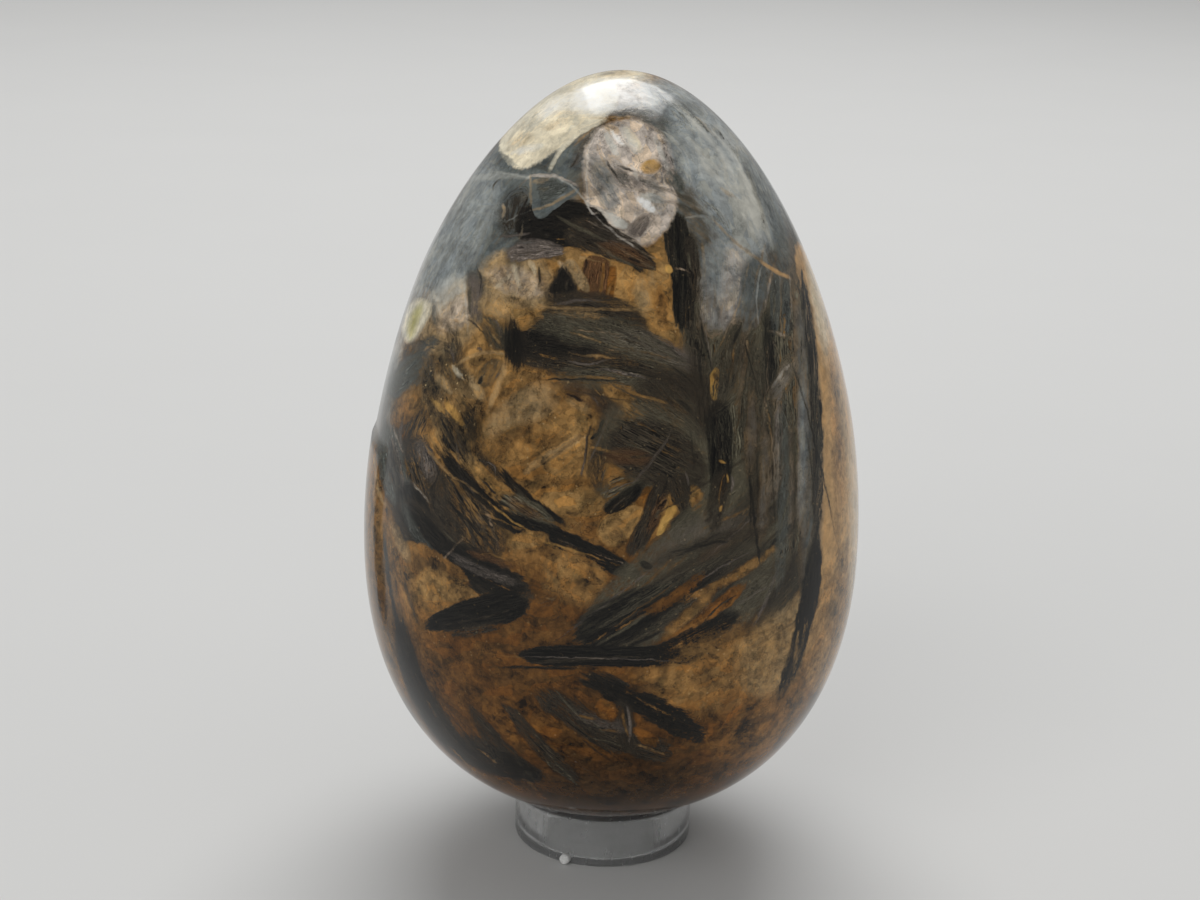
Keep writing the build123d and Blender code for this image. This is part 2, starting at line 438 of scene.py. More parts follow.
TIP = [
    Crystal("mist", (556, 176), (606, 124), 40, 3, ragged=6, soft=8, cover=0.8),
    Crystal("mauve", (570, 176), (600, 132), 16, 3, ragged=6, soft=5, cover=0.5),
    Crystal("moss", (578, 150), (612, 128), 14, ragged=5, soft=6, cover=0.5),
    Crystal("cream", (500, 154), (612, 78), 64, 4, 0, 2.5, 7, 3),
    Crystal("cream", (586, 74), (648, 72), 22, 3, ragged=3, soft=5),
    Crystal("haze_and_sheen", (524, 128), (560, 108), 12, 2, ragged=8, soft=6, cover=0.3),
    Crystal("sand", (508, 148), (530, 134), 9, ragged=6, soft=5, cover=0.35),
    Crystal("sand", (546, 128), (566, 120), 7, ragged=5, soft=4, cover=0.3),
    Crystal("milk_and_glint", (540, 116), (566, 96), 12, ragged=6, soft=6, cover=0.45),
    Crystal("milk_and_glint", (514, 152), (540, 146), 6, ragged=4, soft=4, cover=0.4),
    Crystal("mist", (500, 150), (514, 164), 7, -2, ragged=4, soft=2.5, cover=0.75),
    # A painted highlight: the white glint under the tip, with a painted bluish edge along its foot
    Crystal("milk_and_glint", (564, 104), (664, 102), 36, 7, 0.2, 1.2, 8, 9, 0.7),
    Crystal("haze_and_sheen", (590, 112), (664, 110), 9, 4, 0, 1.2, 6, 4, 0.4),
    Crystal("sand", (600, 76), (632, 74), 7, 2, ragged=3, soft=5, cover=0.4),
    Crystal("slate", (640, 84), (668, 102), 8, 3, ragged=3, soft=4, cover=0.55),
    Crystal("slate", (600, 116), (662, 116), 6, 3, ragged=3, soft=4, cover=0.5),
    Crystal("cream", (549, 172), (604, 121), 5, 9, 0, 2, 1.5, 2, 0.9),
    Crystal("mist", (500, 173), (546, 172), 7, -1, ragged=3, soft=3, cover=0.8),
    Crystal("frost", (468, 178), (528, 177), 5, 2, ragged=4, soft=4, cover=0.35),
    Crystal("haze_and_sheen", (470, 206), (512, 226), 14, 3, ragged=6, soft=8, cover=0.45),
    Crystal("slate", (532, 166), (550, 174), 10, ragged=3, soft=3, cover=0.8),
    Crystal("slate", (606, 118), (690, 122), 22, 5, ragged=4, soft=6, cover=0.5),
    # Blue-grey haze round the right of the tip, partly painted reflection
    Crystal("haze_and_sheen", (642, 80), (712, 122), 34, 4, ragged=6, soft=8, cover=0.7),
    Crystal("slate", (664, 98), (728, 170), 15, 7, ragged=4, soft=4, cover=0.8),
    Crystal("haze_and_sheen", (690, 126), (742, 196), 22, 5, ragged=5, soft=5, cover=0.9),
    Crystal("frost", (704, 140), (752, 236), 26, 7, ragged=9, soft=10, cover=0.4),
    Crystal("haze_and_sheen", (652, 104), (700, 142), 16, 5, ragged=5, soft=5, cover=0.6),
    Crystal("haze_and_sheen", (706, 176), (752, 262), 18, 5, ragged=5, soft=6, cover=0.65),
    Crystal("slate", (690, 190), (736, 244), 8, 6, ragged=4, soft=5, cover=0.5),
    Crystal("frost", (660, 90), (766, 262), 6, 18, 0, 2, 3, 3, 0.55),
    Crystal("frost", (700, 118), (757, 215), 4, 9, 0, 2, 3, 3, 0.5),
    Crystal("frost", (676, 108), (748, 226), 2.4, 14, 0, 2, 3, 2, 0.4),
    Crystal("slate", (706, 122), (764, 226), 5, 12, 0, 2, 1.5, 2, 0.55),
    Crystal("mist", (740, 150), (786, 262), 16, 6, 0, 2, 3, 5, 0.7),
    Crystal("blush", (624, 120), (632, 248), 92, 2, 0, 1.6, 6, 5, 1.1),
    Crystal("mauve", (604, 176), (648, 190), 14, 3, ragged=6, soft=5, cover=0.6),
    Crystal("frost", (606, 134), (618, 156), 7, ragged=5, soft=3, cover=0.7),
    Crystal("frost", (656, 140), (668, 170), 5, ragged=5, soft=3, cover=0.6),
    Crystal("frost", (640, 196), (662, 200), 8, ragged=6, soft=3, cover=0.7),
    Crystal("cream", (626, 128), (640, 150), 8, ragged=5, soft=3, cover=0.8),
    Crystal("haze_and_sheen", (670, 134), (690, 186), 26, 5, ragged=4, soft=4, cover=0.55),
    Crystal("frost", (668, 134), (690, 184), 2, 8, 0, 2, 1.5, 2, 0.4),
    Crystal("mist", (592, 156), (612, 212), 24, 3, ragged=8, soft=6, cover=0.7),
    Crystal("slate", (606, 150), (634, 204), 13, 2, ragged=6, soft=4, cover=0.45),
    Crystal("slate", (636, 176), (668, 196), 10, 2, ragged=6, soft=4, cover=0.5),
    Crystal("mist", (650, 176), (664, 214), 14, ragged=8, soft=5, cover=0.5),
    Crystal("frost", (598, 210), (620, 222), 8, ragged=5, soft=3, cover=0.6),
    Crystal("sand", (604, 126), (618, 132), 8, ragged=4, soft=3, cover=0.5),
    Crystal("frost", (622, 126), (636, 152), 10, ragged=4, soft=3, cover=0.6),
    Crystal("milk_and_glint", (638, 198), (656, 212), 8, ragged=5, soft=2.5, cover=0.8),
    Crystal("mauve", (600, 232), (640, 250), 12, ragged=5, soft=4, cover=0.6),
    Crystal("milk_and_glint", (612, 132), (624, 146), 5, ragged=4, soft=2, cover=0.7),
    Crystal("frost", (612, 222), (628, 226), 9, ragged=4, soft=2, cover=0.8),
    Crystal("frost", (632, 166), (638, 180), 3.5, ragged=2, soft=2, cover=0.39),
    Crystal("frost", (592, 138), (592, 216), 1.8, -6, 0, 2, 1, 2, 0.33),
    Crystal("frost", (664, 132), (688, 178), 1.8, 6, 0, 2, 1, 2, 0.33),
    Crystal("gold", (641, 168), (660, 165), 14, ragged=3, soft=3, cover=0.75),
    Crystal("mauve", (630, 236), (650, 216), 16, ragged=4, soft=4, cover=0.85),
    Crystal("slate", (668, 170), (680, 192), 16, ragged=4, soft=4, cover=0.85),
    Crystal("peat", (650, 186), (700, 205), 5, 2, ragged=2, soft=2, cover=0.6),
    Crystal("peat", (656, 199), (716, 220), 5, 2, ragged=2, soft=2, cover=0.5),
    Crystal("sand", (722, 189), (734, 197), 3.5, ragged=2, soft=2, cover=0.52),
    Crystal("frost", (688, 218), (706, 217), 2.1, 1, ragged=1, soft=2, cover=0.39),
    Crystal("frost", (496, 172), (529, 178), 1.8, 1, ragged=1, soft=2, cover=0.39),
    Crystal("peat", (524, 186), (506, 240), 26, -4, ragged=5, soft=10, cover=0.8),
    Crystal("jet", (516, 226), (612, 236), 46, 8, -0.1, 2, 4, 4, 0.93),
    Crystal("peat", (566, 228), (656, 268), 30, 4, -0.3, 2, 4, 3, 0.95),
    Crystal("garnet", (600, 244), (650, 266), 14, 2, ragged=4, soft=5, cover=0.6),
    Crystal("mauve", (505, 256), (566, 252), 20, 4, -0.2, 1.5, 3, 3, 0.95),
    Crystal("mist", (505, 247), (552, 246), 2.1, 4, ragged=1, soft=2, cover=0.39),
    Crystal("mist", (530, 194), (579, 189), 35, 0, -0.8, 3, 1, 1.2),
    Crystal("slate", (538, 193), (568, 188), 22, 0, -0.8, 2, 8, 3, 0.85),
    Crystal("blush", (530, 176), (562, 178), 3.4, 1, 0, 2, 2, 1.5, 0.65),
    Crystal("blush", (560, 178), (578, 187), 2.4, 1, 0, 2, 1, 1.5, 0.6),
    Crystal("sand", (534, 182), (548, 180), 5, 0, ragged=3, soft=2, cover=0.5),
    Crystal("haze_and_sheen", (546, 200), (570, 193), 2.8, ragged=1, soft=2, cover=0.33),
    Crystal("sand", (530, 176), (530, 210), 2.2, 1, 0, 2, 1.2, 1.5, 0.5),
    Crystal("sand", (529, 211), (575, 190), 2.6, -3, 0, 2, 1.2, 1.5, 0.6),
    Crystal("frost", (508, 221), (530, 211), 1.5, 1, 0, 2, 0.6, 1.5, 0.35),
    Crystal("sand", (523, 216), (519, 240), 2.6, 1, 0, 2, 1, 1.5, 0.35),
    Crystal("frost", (556, 177), (592, 214), 2.1, 5, 0, 2, 0.6, 1.5, 0.45),
    Crystal("frost", (590, 211), (650, 256), 2.1, -3, 0, 2, 0.6, 1.5, 0.39),
    Crystal("sand", (560, 256), (600, 262), 2.1, 2, 0, 2, 0.6, 1.5, 0.45),
]

BROW = [
    Crystal("honey", (644, 262), (662, 332), 54, 0, 0, 3, 3, 3, 0.95),
    Crystal("sand", (640, 278), (644, 316), 16, ragged=5, soft=6, cover=0.6),
    Crystal("sand", (650, 270), (654, 290), 6, ragged=5, soft=3, cover=0.4),
    Crystal("rust", (660, 290), (664, 328), 12, ragged=6, soft=4, cover=0.6),
    Crystal("umber_and_shade", (632, 296), (640, 326), 6, ragged=4, soft=3, cover=0.5),
    Crystal("rust", (612, 266), (608, 302), 12, 0, 0, 3, 1, 2, 0.9),
    Crystal("garnet", (598, 256), (592, 298), 26, 0, 0, 4, 1, 2, 0.95),
    Crystal("sand", (566, 260), (588, 292), 14, 0, -0.3, 2, 2, 2, 0.85),
    Crystal("rust", (604, 262), (600, 296), 3, 0, 0, 2, 1, 1.5, 0.7),
    Crystal("peat", (564, 264), (562, 304), 30, 0, 0.7, 2, 6, 5, 0.75),
    Crystal("jet", (563, 269), (563, 294), 18, 0, 0.8, 2, 3, 3, 0.8),
    Crystal("peat", (540, 314), (650, 336), 46, 10, 0, 1.5, 6, 6, 0.9),
    Crystal("peat", (512, 348), (708, 392), 58, 18, -0.1, 1.5, 6, 6, 0.94),
    Crystal("jet", (530, 336), (600, 344), 34, 4, 0, 1.5, 6, 8, 0.75),
    Crystal("mauve", (610, 336), (700, 366), 22, 5, 0, 1.5, 6, 8, 0.55),
    Crystal("moss", (536, 322), (680, 366), 34, 10, 0, 1.5, 10, 10, 0.6),
    Crystal("moss", (560, 376), (690, 404), 22, 8, 0, 1.5, 8, 8, 0.6),
    Crystal("peat", (640, 380), (700, 440), 60, 6, 0, 1.5, 8, 12, 0.8),
    Crystal("jet", (511, 320), (516, 368), 20, 0, 0.1, 1.2, 9, 6, 0.85),
    Crystal("jet", (504, 342), (566, 352), 28, 2, 0, 1.2, 9, 8, 0.6),
    Crystal("sand", (548, 306), (604, 316), 10, -2, ragged=4, soft=5, cover=0.35),
    Crystal("frost", (535, 330), (640, 338), 1, 3, 0, 2, 0.5, 1, 0.2),
    Crystal("frost", (530, 344), (650, 356), 1, 3, 0, 2, 0.5, 1, 0.16),
    Crystal("jet", (674, 212), (684, 330), 25, 3, -0.1, 2.5, 4, 3, 0.92),
    Crystal("peat", (690, 236), (698, 302), 15, 0, 0, 2, 3, 3, 0.9),
    Crystal("peat", (690, 296), (706, 436), 22, 2, 0, 1.5, 5, 6, 0.75),
    Crystal("frost", (687, 283), (693, 324), 1.4, 0, 0, 2, 0.6, 1, 0.45),
    Crystal("sand", (702, 242), (706, 278), 2.8, 0, 0, 2, 1, 1.5, 0.52),
    Crystal("blush", (676, 268), (688, 272), 2.8, 0, 0, 1, 1, 1.5, 0.45),
    Crystal("gold", (666, 266), (672, 272), 7, 0, 0, 1, 1, 2, 0.8),
]

EYE = [
    Crystal("tan", (476, 432), (606, 432), 124, soft=16, ragged=6, cover=0.9),
    Crystal("honey", (540, 455), (604, 430), 70, ragged=8, soft=14, cover=0.7),
    Crystal("sand", (488, 432), (552, 386), 26, 3, 0, 1.2, 10, 6, 0.6),
    Crystal("honey", (506, 462), (590, 396), 22, 2, 0, 1.5, 8, 5, 0.6),
    Crystal("umber_and_shade", (500, 452), (560, 412), 5, 1, 0, 1.5, 4, 3, 0.45),
    Crystal("sand", (528, 470), (586, 436), 9, 2, 0, 1.5, 5, 4, 0.5),
    Crystal("honey", (556, 486), (600, 446), 12, 2, 0, 1.5, 5, 4, 0.35),
    Crystal("umber_and_shade", (546, 462), (600, 424), 4, 1, 0, 1.5, 3, 3, 0.4),
    Crystal("sand", (566, 398), (590, 410), 10, 0, 0, 1.5, 5, 4, 0.4),
    Crystal("sand", (520, 424), (556, 400), 16, ragged=4, soft=5, cover=0.5),
    Crystal("moss", (482, 386), (502, 360), 22, 2, 0, 1.5, 3, 3, 0.6),
    Crystal("sand", (456, 366), (512, 357), 3.5, 9, 0, 2, 1.5, 2, 0.52),
    Crystal("sand", (506, 360), (487, 412), 6, 2, 0, 1.5, 3, 2, 0.5),
    Crystal("moss", (556, 372), (600, 392), 30, 4, 0, 1.5, 6, 8, 0.5),
    Crystal("garnet", (560, 385), (620, 420), 20, 3, 0, 1.5, 6, 7, 0.6),
    Crystal("peat", (592, 386), (612, 414), 16, 0, 0, 1.5, 5, 5, 0.75),
    Crystal("peat", (616, 400), (592, 504), 26, -4, 0, 1.5, 9, 8, 0.75),
    Crystal("moss", (590, 506), (656, 476), 24, 3, 0, 1.5, 8, 7, 0.7),
    Crystal("umber_and_shade", (504, 440), (524, 428), 12, ragged=4, soft=5, cover=0.5),
    Crystal("rust", (520, 448), (562, 436), 20, ragged=6, soft=8, cover=0.5),
    Crystal("rust", (560, 560), (620, 600), 60, 3, ragged=14, soft=12, cover=0.6),
    Crystal("honey", (540, 500), (604, 504), 30, 2, 0, 1.5, 8, 6, 0.5),
    Crystal("rust", (548, 486), (590, 482), 14, ragged=5, soft=6, cover=0.5),
    Crystal("jet", (604, 419), (598, 434), 3, -1, 0, 2, 0.8, 1, 0.9),
    Crystal("jet", (599, 432), (592, 439), 3, 0, 0, 2, 0.8, 1, 0.9),
    Crystal("peat", (478, 452), (512, 484), 10, -2, 0, 1.5, 4, 4, 0.8),
    Crystal("jet", (500, 470), (566, 524), 10, -4, 0, 2, 4, 3, 0.9),
]

LOW_LEFT = [
    Crystal("peat", (404, 440), (446, 560), 66, -6, 0, 2, 6, 8, 0.8),
    Crystal("peat", (440, 470), (500, 560), 60, -4, 0, 1.5, 8, 10, 0.75),
    Crystal("slate", (386, 424), (402, 506), 28, -3, 0, 1.5, 3, 5, 0.9),
    Crystal("peat", (392, 440), (404, 500), 12, -3, 0, 1.5, 3, 4, 0.8),
    Crystal("haze_and_sheen", (388, 408), (402, 474), 2.8, -2, 0, 2, 1, 2, 0.39),
    Crystal("frost", (394, 428), (403, 452), 2.1, -1, 0, 2, 0.8, 1.5, 0.52),
    Crystal("mauve", (420, 440), (432, 480), 16, ragged=4, soft=5, cover=0.6),
    Crystal("jet", (402, 484), (432, 540), 30, -2, 0, 1.5, 4, 4, 0.88),
    Crystal("frost", (413, 483), (428, 502), 2.1, 0, 0, 2, 1, 1.5, 0.39),
    Crystal("peat", (398, 500), (530, 600), 46, -17, 0.1, 2, 7, 4, 0.95),
    Crystal("jet", (404, 506), (470, 570), 26, -6, 0, 1.5, 6, 4, 0.85),
    Crystal("umber_and_shade", (450, 604), (522, 592), 6, 2, 0, 1.5, 3, 2, 0.7),
    Crystal("jet", (444, 548), (526, 590), 30, -4, 0, 1.5, 7, 4, 0.9),
    Crystal("garnet", (470, 552), (520, 570), 9, 2, 0, 1.5, 4, 3, 0.6),
    Crystal("mauve", (450, 556), (516, 582), 9, -2, 0, 1.5, 5, 4, 0.5),
    Crystal("slate", (402, 500), (440, 560), 8, -6, 0, 1.5, 3, 4, 0.6),
    Crystal("blush", (463, 539), (441, 561), 2.6, 0, 0, 2, 1, 1.5, 0.4),
    Crystal("blush", (480, 500), (498, 548), 2.8, 2, 0, 2, 1, 2, 0.26),
    Crystal("moss", (498, 496), (554, 528), 19, 3, 0, 1.5, 4, 4, 0.75),
    Crystal("garnet", (508, 500), (540, 518), 10, 1, 0, 1.5, 4, 4, 0.5),
    Crystal("jet", (438, 448), (508, 516), 13, -3, 0, 1.5, 5, 4, 0.8),
    Crystal("sand", (426, 446), (456, 480), 2.8, -2, 0, 2, 1.2, 1.5, 0.49),
    Crystal("sand", (452, 476), (490, 502), 2.8, 1, 0, 2, 1.2, 1.5, 0.45),
    Crystal("jet", (494, 516), (640, 578), 21, 4, -0.1, 2, 4, 3, 0.95),
    Crystal("gold", (488, 502), (560, 550), 2.4, -2, 0, 2, 1, 1.5, 0.6),
    Crystal("gold", (540, 540), (624, 568), 1.8, 1, 0, 2, 1, 1.5, 0.4),
    Crystal("frost", (560, 540), (640, 572), 1.3, 1, 0, 2, 0.6, 1, 0.26),
    Crystal("honey", (508, 545), (548, 538), 16, 2, 0, 1.5, 4, 3, 0.85),
    Crystal("tan", (398, 548), (458, 602), 52, -2, 0.2, 2, 5, 4, 0.85),
    Crystal("umber_and_shade", (404, 558), (466, 594), 28, ragged=8, soft=10, cover=0.5),
    Crystal("honey", (416, 582), (482, 600), 26, 2, -0.7, 2, 4, 3, 0.7),
    Crystal("sand", (392, 524), (408, 560), 9, 0, 0, 1.5, 2, 4, 0.6),
    Crystal("honey", (544, 566), (606, 590), 52, 2, 0, 1.5, 10, 10, 0.5),
    Crystal("moss", (530, 606), (560, 596), 20, ragged=5, soft=8, cover=0.4),
    Crystal("jet", (384, 528), (402, 642), 4.5, -3, 0, 2, 1, 2, 0.75),
    Crystal("peat", (403, 576), (420, 628), 5, -1, 0.2, 2, 1.5, 2, 0.7),
    Crystal("jet", (424, 627), (528, 605), 29, 4, 0.35, 1.6, 3, 2.5, 1.1),
    Crystal("peat", (440, 634), (500, 628), 14, ragged=4, soft=4, cover=0.7),
]

FAN = [
    Crystal("moss", (600, 420), (704, 470), 70, 5, 0, 1.5, 10, 12, 0.6),
    Crystal("peat", (608, 436), (704, 486), 62, 6, 0, 1.5, 7, 7, 0.88),
    Crystal("garnet", (604, 456), (650, 458), 16, 0, 0, 1.5, 5, 5, 0.5),
    Crystal("mauve", (669, 434), (634, 482), 2.1, 2, 0, 2, 0.8, 1.5, 0.39),
    Crystal("rust", (634, 500), (656, 498), 24, ragged=4, soft=3, cover=0.85),
    Crystal("honey", (600, 540), (646, 512), 30, 2, 0, 2, 3, 3, 0.95),
    Crystal("garnet", (610, 532), (624, 538), 14, ragged=3, soft=3, cover=0.6),
    Crystal("jet", (644, 484), (604, 512), 15, 2, 0, 1.5, 3, 3, 0.9),
    Crystal("peat", (664, 478), (628, 556), 18, 4, 0, 2, 3, 3, 0.95),
    Crystal("peat", (676, 476), (688, 512), 22, 0, 0, 1.5, 4, 3, 0.9),
    Crystal("garnet", (664, 498), (650, 530), 10, ragged=3, soft=3, cover=0.6),
    Crystal("gold", (658, 536), (675, 506), 8, 1, 0.2, 2, 1.5, 1.5, 0.9),
    Crystal("honey", (692, 486), (706, 524), 17, 1, 0.2, 1.2, 8, 3, 0.85),
    Crystal("rust", (696, 500), (708, 522), 8, ragged=5, soft=3, cover=0.6),
    Crystal("jet", (672, 536), (702, 518), 22, 4, 0, 1.5, 3, 3, 0.95),
    Crystal("moss", (586, 646), (806, 452), 92, -10, 0.1, 2, 6, 8, 0.8),
    Crystal("peat", (640, 600), (800, 470), 28, -14, 0, 1.5, 7, 8, 0.8),
    Crystal("peat", (700, 546), (790, 440), 14, -8, 0, 1.5, 6, 6, 0.65),
    Crystal("jet", (742, 566), (798, 520), 9, -3, 0, 1.5, 4, 4, 0.6),
    Crystal("mauve", (650, 560), (744, 516), 26, 5, 0, 1.5, 8, 10, 0.3),
    Crystal("peat", (598, 648), (756, 554), 46, 5, 0, 1.5, 11, 10, 0.85),
    Crystal("jet", (576, 648), (680, 590), 44, 3, -0.2, 1.5, 9, 7, 0.95),
    Crystal("jet", (592, 640), (720, 572), 22, 3, 0, 1.5, 8, 7, 0.75),
    Crystal("moss", (606, 624), (744, 548), 12, 4, 0, 1.5, 7, 6, 0.35),
    Crystal("moss", (646, 632), (762, 560), 7, 3, 0, 1.5, 4, 4, 0.35),
    Crystal("peat", (700, 640), (806, 560), 44, -6, 0, 1.5, 8, 10, 0.75),
    Crystal("moss", (716, 634), (776, 570), 24, -3, 0, 1.5, 5, 6, 0.6),
    Crystal("jet", (718, 400), (722, 494), 26, 0, -0.1, 1.5, 6, 4, 0.9),
    Crystal("peat", (724, 470), (712, 530), 20, 0, 0, 1.5, 5, 4, 0.9),
    Crystal("jet", (640, 562), (652, 568), 9, ragged=3, soft=2, cover=0.8),
    Crystal("rust", (640, 616), (704, 574), 12, -3, 0, 1.5, 6, 5, 0.6),
    Crystal("honey", (686, 600), (774, 548), 9, -4, 0, 2, 5, 4, 0.7),
    Crystal("honey", (666, 638), (714, 592), 13, 0, -0.3, 1.5, 5, 4, 0.7),
    Crystal("rust", (652, 654), (742, 586), 14, -3, 0.2, 1.5, 3, 3, 0.95),
    Crystal("garnet", (676, 632), (716, 602), 4, 0, 0, 2, 1.5, 2, 0.7),
    Crystal("jet", (656, 650), (738, 614), 18, -3, 0.2, 2, 4, 3, 0.95),
    Crystal("peat", (744, 636), (798, 552), 9, -3, 0, 1.5, 5, 4, 0.7),
    Crystal("moss", (726, 640), (786, 566), 6, -3, 0, 1.5, 4, 3, 0.6),
    Crystal("gold", (716, 367), (714, 400), 9, -1, 0, 2, 0.8, 1.2),
    Crystal("rust", (714, 373), (718, 382), 4, 0, 0, 1, 1, 1.5, 0.8),
    Crystal("honey", (730, 363), (734, 392), 9, 0, 0, 1.5, 1.5, 3, 0.6),
    Crystal("gold", (719, 460), (726, 462), 3.5, 0, 0, 1, 1.5, 1.5, 0.7),
    Crystal("gold", (722, 504), (720, 512), 3.5, 0, 0, 1, 1.5, 1.5, 0.7),
    Crystal("gold", (727, 474), (728, 482), 2.1, 0, 0, 1, 1, 1.5, 0.7),
    Crystal("jet", (519, 655), (712, 654), 21, -2, 0, 2.5, 3, 2, 1.1),
    Crystal("mauve", (530, 657), (690, 662), 1.3, 1, 0, 2, 0.5, 1, 0.39),
    Crystal("sand", (736, 646), (770, 630), 12, ragged=4, soft=5, cover=0.5),
]

RIGHT = [
    Crystal("moss", (758, 262), (728, 400), 44, 4, 0, 1.5, 6, 8, 0.6),
    Crystal("haze_and_sheen", (722, 240), (714, 336), 44, 2, 0, 1.5, 10, 10, 0.65),
    Crystal("blush", (736, 244), (728, 326), 24, 2, 0, 1.5, 9, 9, 0.42),
    Crystal("mist", (756, 260), (744, 334), 28, 3, 0, 1.4, 5, 3, 0.7),
    Crystal("frost", (762, 266), (758, 324), 1.5, -3, 0, 2, 1, 1.2, 0.4),
    Crystal("peat", (742, 320), (712, 412), 30, 2, 0, 1.5, 6, 9, 0.6),
    Crystal("sand", (748, 268), (716, 352), 1.8, 4, 0, 2, 0.8, 1.5, 0.33),
    Crystal("peat", (750, 340), (770, 480), 30, 2, 0, 1.5, 6, 10, 0.5),
    Crystal("slate", (777, 276), (774, 334), 10, 0, 0, 2, 1, 1.5, 0.9),
    Crystal("slate", (786, 278), (787, 334), 9, 0, 0, 2, 1, 1.5, 0.9),
    Crystal("frost", (780, 280), (781, 334), 1.3, 0, 0, 2, 0.5, 1, 0.36),
    Crystal("frost", (790, 276), (793, 344), 1.3, 0, 0, 2, 0.5, 1, 0.36),
    Crystal("blush", (771, 274), (766, 308), 1.8, 0, 0, 2, 0.5, 1, 0.45),
    Crystal("sand", (714, 220), (764, 262), 3.1, -3, 0, 2, 1, 1.5, 0.45),
    Crystal("apricot", (760, 261), (790, 278), 4, -1, 0, 2, 1, 1.5, 0.7),
    Crystal("jet", (768, 312), (772, 388), 14, 0, 0, 1.5, 4, 4, 0.75),
    Crystal("frost", (768, 331), (790, 338), 3.5, 1, 0, 1.5, 1, 2, 0.42),
    Crystal("frost", (771, 336), (778, 352), 1.8, 0, 0, 2, 0.6, 1, 0.36),
    Crystal("peat", (744, 400), (760, 560), 16, 2, 0, 1.5, 6, 6, 0.7),
    Crystal("slate", (782, 400), (780, 580), 12, 3, 0, 1.5, 4, 5, 0.8),
    Crystal("mist", (764, 420), (760, 540), 11, 3, 0, 1.5, 4, 5, 0.65),
    Crystal("mist", (744, 260), (738, 420), 8, 3, 0, 1.5, 4, 4, 0.45),
    Crystal("peat", (790, 420), (792, 570), 7, 3, 0, 1.5, 3, 3, 0.6),
    Crystal("mist", (700, 560), (770, 520), 12, 4, 0, 1.5, 6, 6, 0.4),
    Crystal("peat", (650, 566), (760, 530), 12, 5, 0, 1.5, 6, 6, 0.75),
    Crystal("haze_and_sheen", (774, 398), (792, 360), 16, 0, 0, 1.2, 8, 6, 0.5),
    Crystal("frost", (772, 388), (788, 366), 3, 0, 0, 1.5, 3, 2, 0.4),
    Crystal("mist", (798, 284), (808, 600), 24, 7, 0, 2, 4, 7, 0.75),
    Crystal("haze_and_sheen", (802, 380), (798, 520), 9, 3, 0, 2, 3, 4, 0.6),
    Crystal("haze_and_sheen", (778, 392), (774, 500), 11, 2, 0, 2, 4, 5, 0.5),
    Crystal("haze_and_sheen", (790, 420), (789, 548), 5, 2, 0, 2, 3, 3, 0.45),
    Crystal("mist", (752, 392), (748, 474), 12, 2, 0, 1.5, 5, 5, 0.6),
    Crystal("haze_and_sheen", (768, 340), (764, 420), 4, 2, 0, 1.5, 3, 3, 0.4),
    Crystal("jet", (799, 262), (815, 560), 11, 9, 0, 2.5, 1.5, 3, 0.7),
    Crystal("jet", (817, 540), (777, 704), 17, 7, -0.2, 2, 2, 2.5, 0.92),
    Crystal("moss", (798, 728), (824, 676), 13, 0, 0, 1.5, 3, 4, 0.5),
]

LOW = [
    Crystal("honey", (650, 690), (790, 640), 80, ragged=14, soft=24, cover=0.55),
    Crystal("tan", (724, 752), (806, 690), 44, -4, ragged=12, soft=16, cover=0.7),
    Crystal("umber_and_shade", (536, 700), (694, 748), 66, 6, ragged=10, soft=14, cover=0.5),
    Crystal("peat", (536, 692), (620, 750), 28, 3, 0, 2, 10, 6, 0.9),
    Crystal("jet", (582, 677), (704, 738), 25, 4, 0.1, 2, 9, 5, 0.9),
    Crystal("peat", (600, 732), (672, 758), 30, 3, 0, 1.5, 9, 6, 0.9),
    Crystal("peat", (620, 700), (632, 752), 20, 0, 0, 1.5, 4, 4, 0.85),
    Crystal("mauve", (580, 716), (626, 728), 14, ragged=4, soft=6, cover=0.4),
    Crystal("rust", (596, 704), (616, 716), 18, ragged=4, soft=3, cover=0.95),
    Crystal("rust", (634, 730), (658, 744), 13, ragged=4, soft=3, cover=0.95),
    Crystal("peat", (503, 702), (578, 782), 16, -3, 0.1, 1.5, 4, 3, 0.9),
    Crystal("peat", (467, 702), (536, 780), 17, -4, 0.1, 1.5, 4, 4, 0.88),
    Crystal("jet", (398, 618), (472, 764), 22, -14, 0.1, 2, 4, 4, 0.85),
    Crystal("jet", (456, 742), (546, 778), 26, -4, -0.2, 1.5, 5, 6, 0.8),
    Crystal("peat", (436, 700), (500, 770), 30, -4, 0, 1.5, 6, 8, 0.6),
    Crystal("umber_and_shade", (738, 728), (776, 714), 8, ragged=3, soft=4, cover=0.7),
    Crystal("umber_and_shade", (628, 690), (660, 684), 12, ragged=4, soft=5, cover=0.6),
    Crystal("umber_and_shade", (498, 678), (520, 676), 14, ragged=4, soft=5, cover=0.5),
]

CRYSTALS = LEFT_SHOULDER + EYE + BROW + TIP + LOW_LEFT + FAN + RIGHT + LOW


# The tones of the needles that lie along broad blades, and of those in black blades
NEEDLE_TONES = ("jet", "peat", "jet", "moss", "honey", "sand", "mauve")
BLACK_NEEDLE_TONES = ("jet", "peat", "jet", "peat", "jet", "honey", "peat")
# The least width and length of a blade that has needles, in pixels
NEEDLED_WIDTH, NEEDLED_LENGTH = 9, 25
# A blade has the fewest needles and one more for each share of its area, up to the most
FEWEST_NEEDLES, MOST_NEEDLES = 2, 6
NEEDLE_AREA = 1800
NEEDLE_SEED = 11


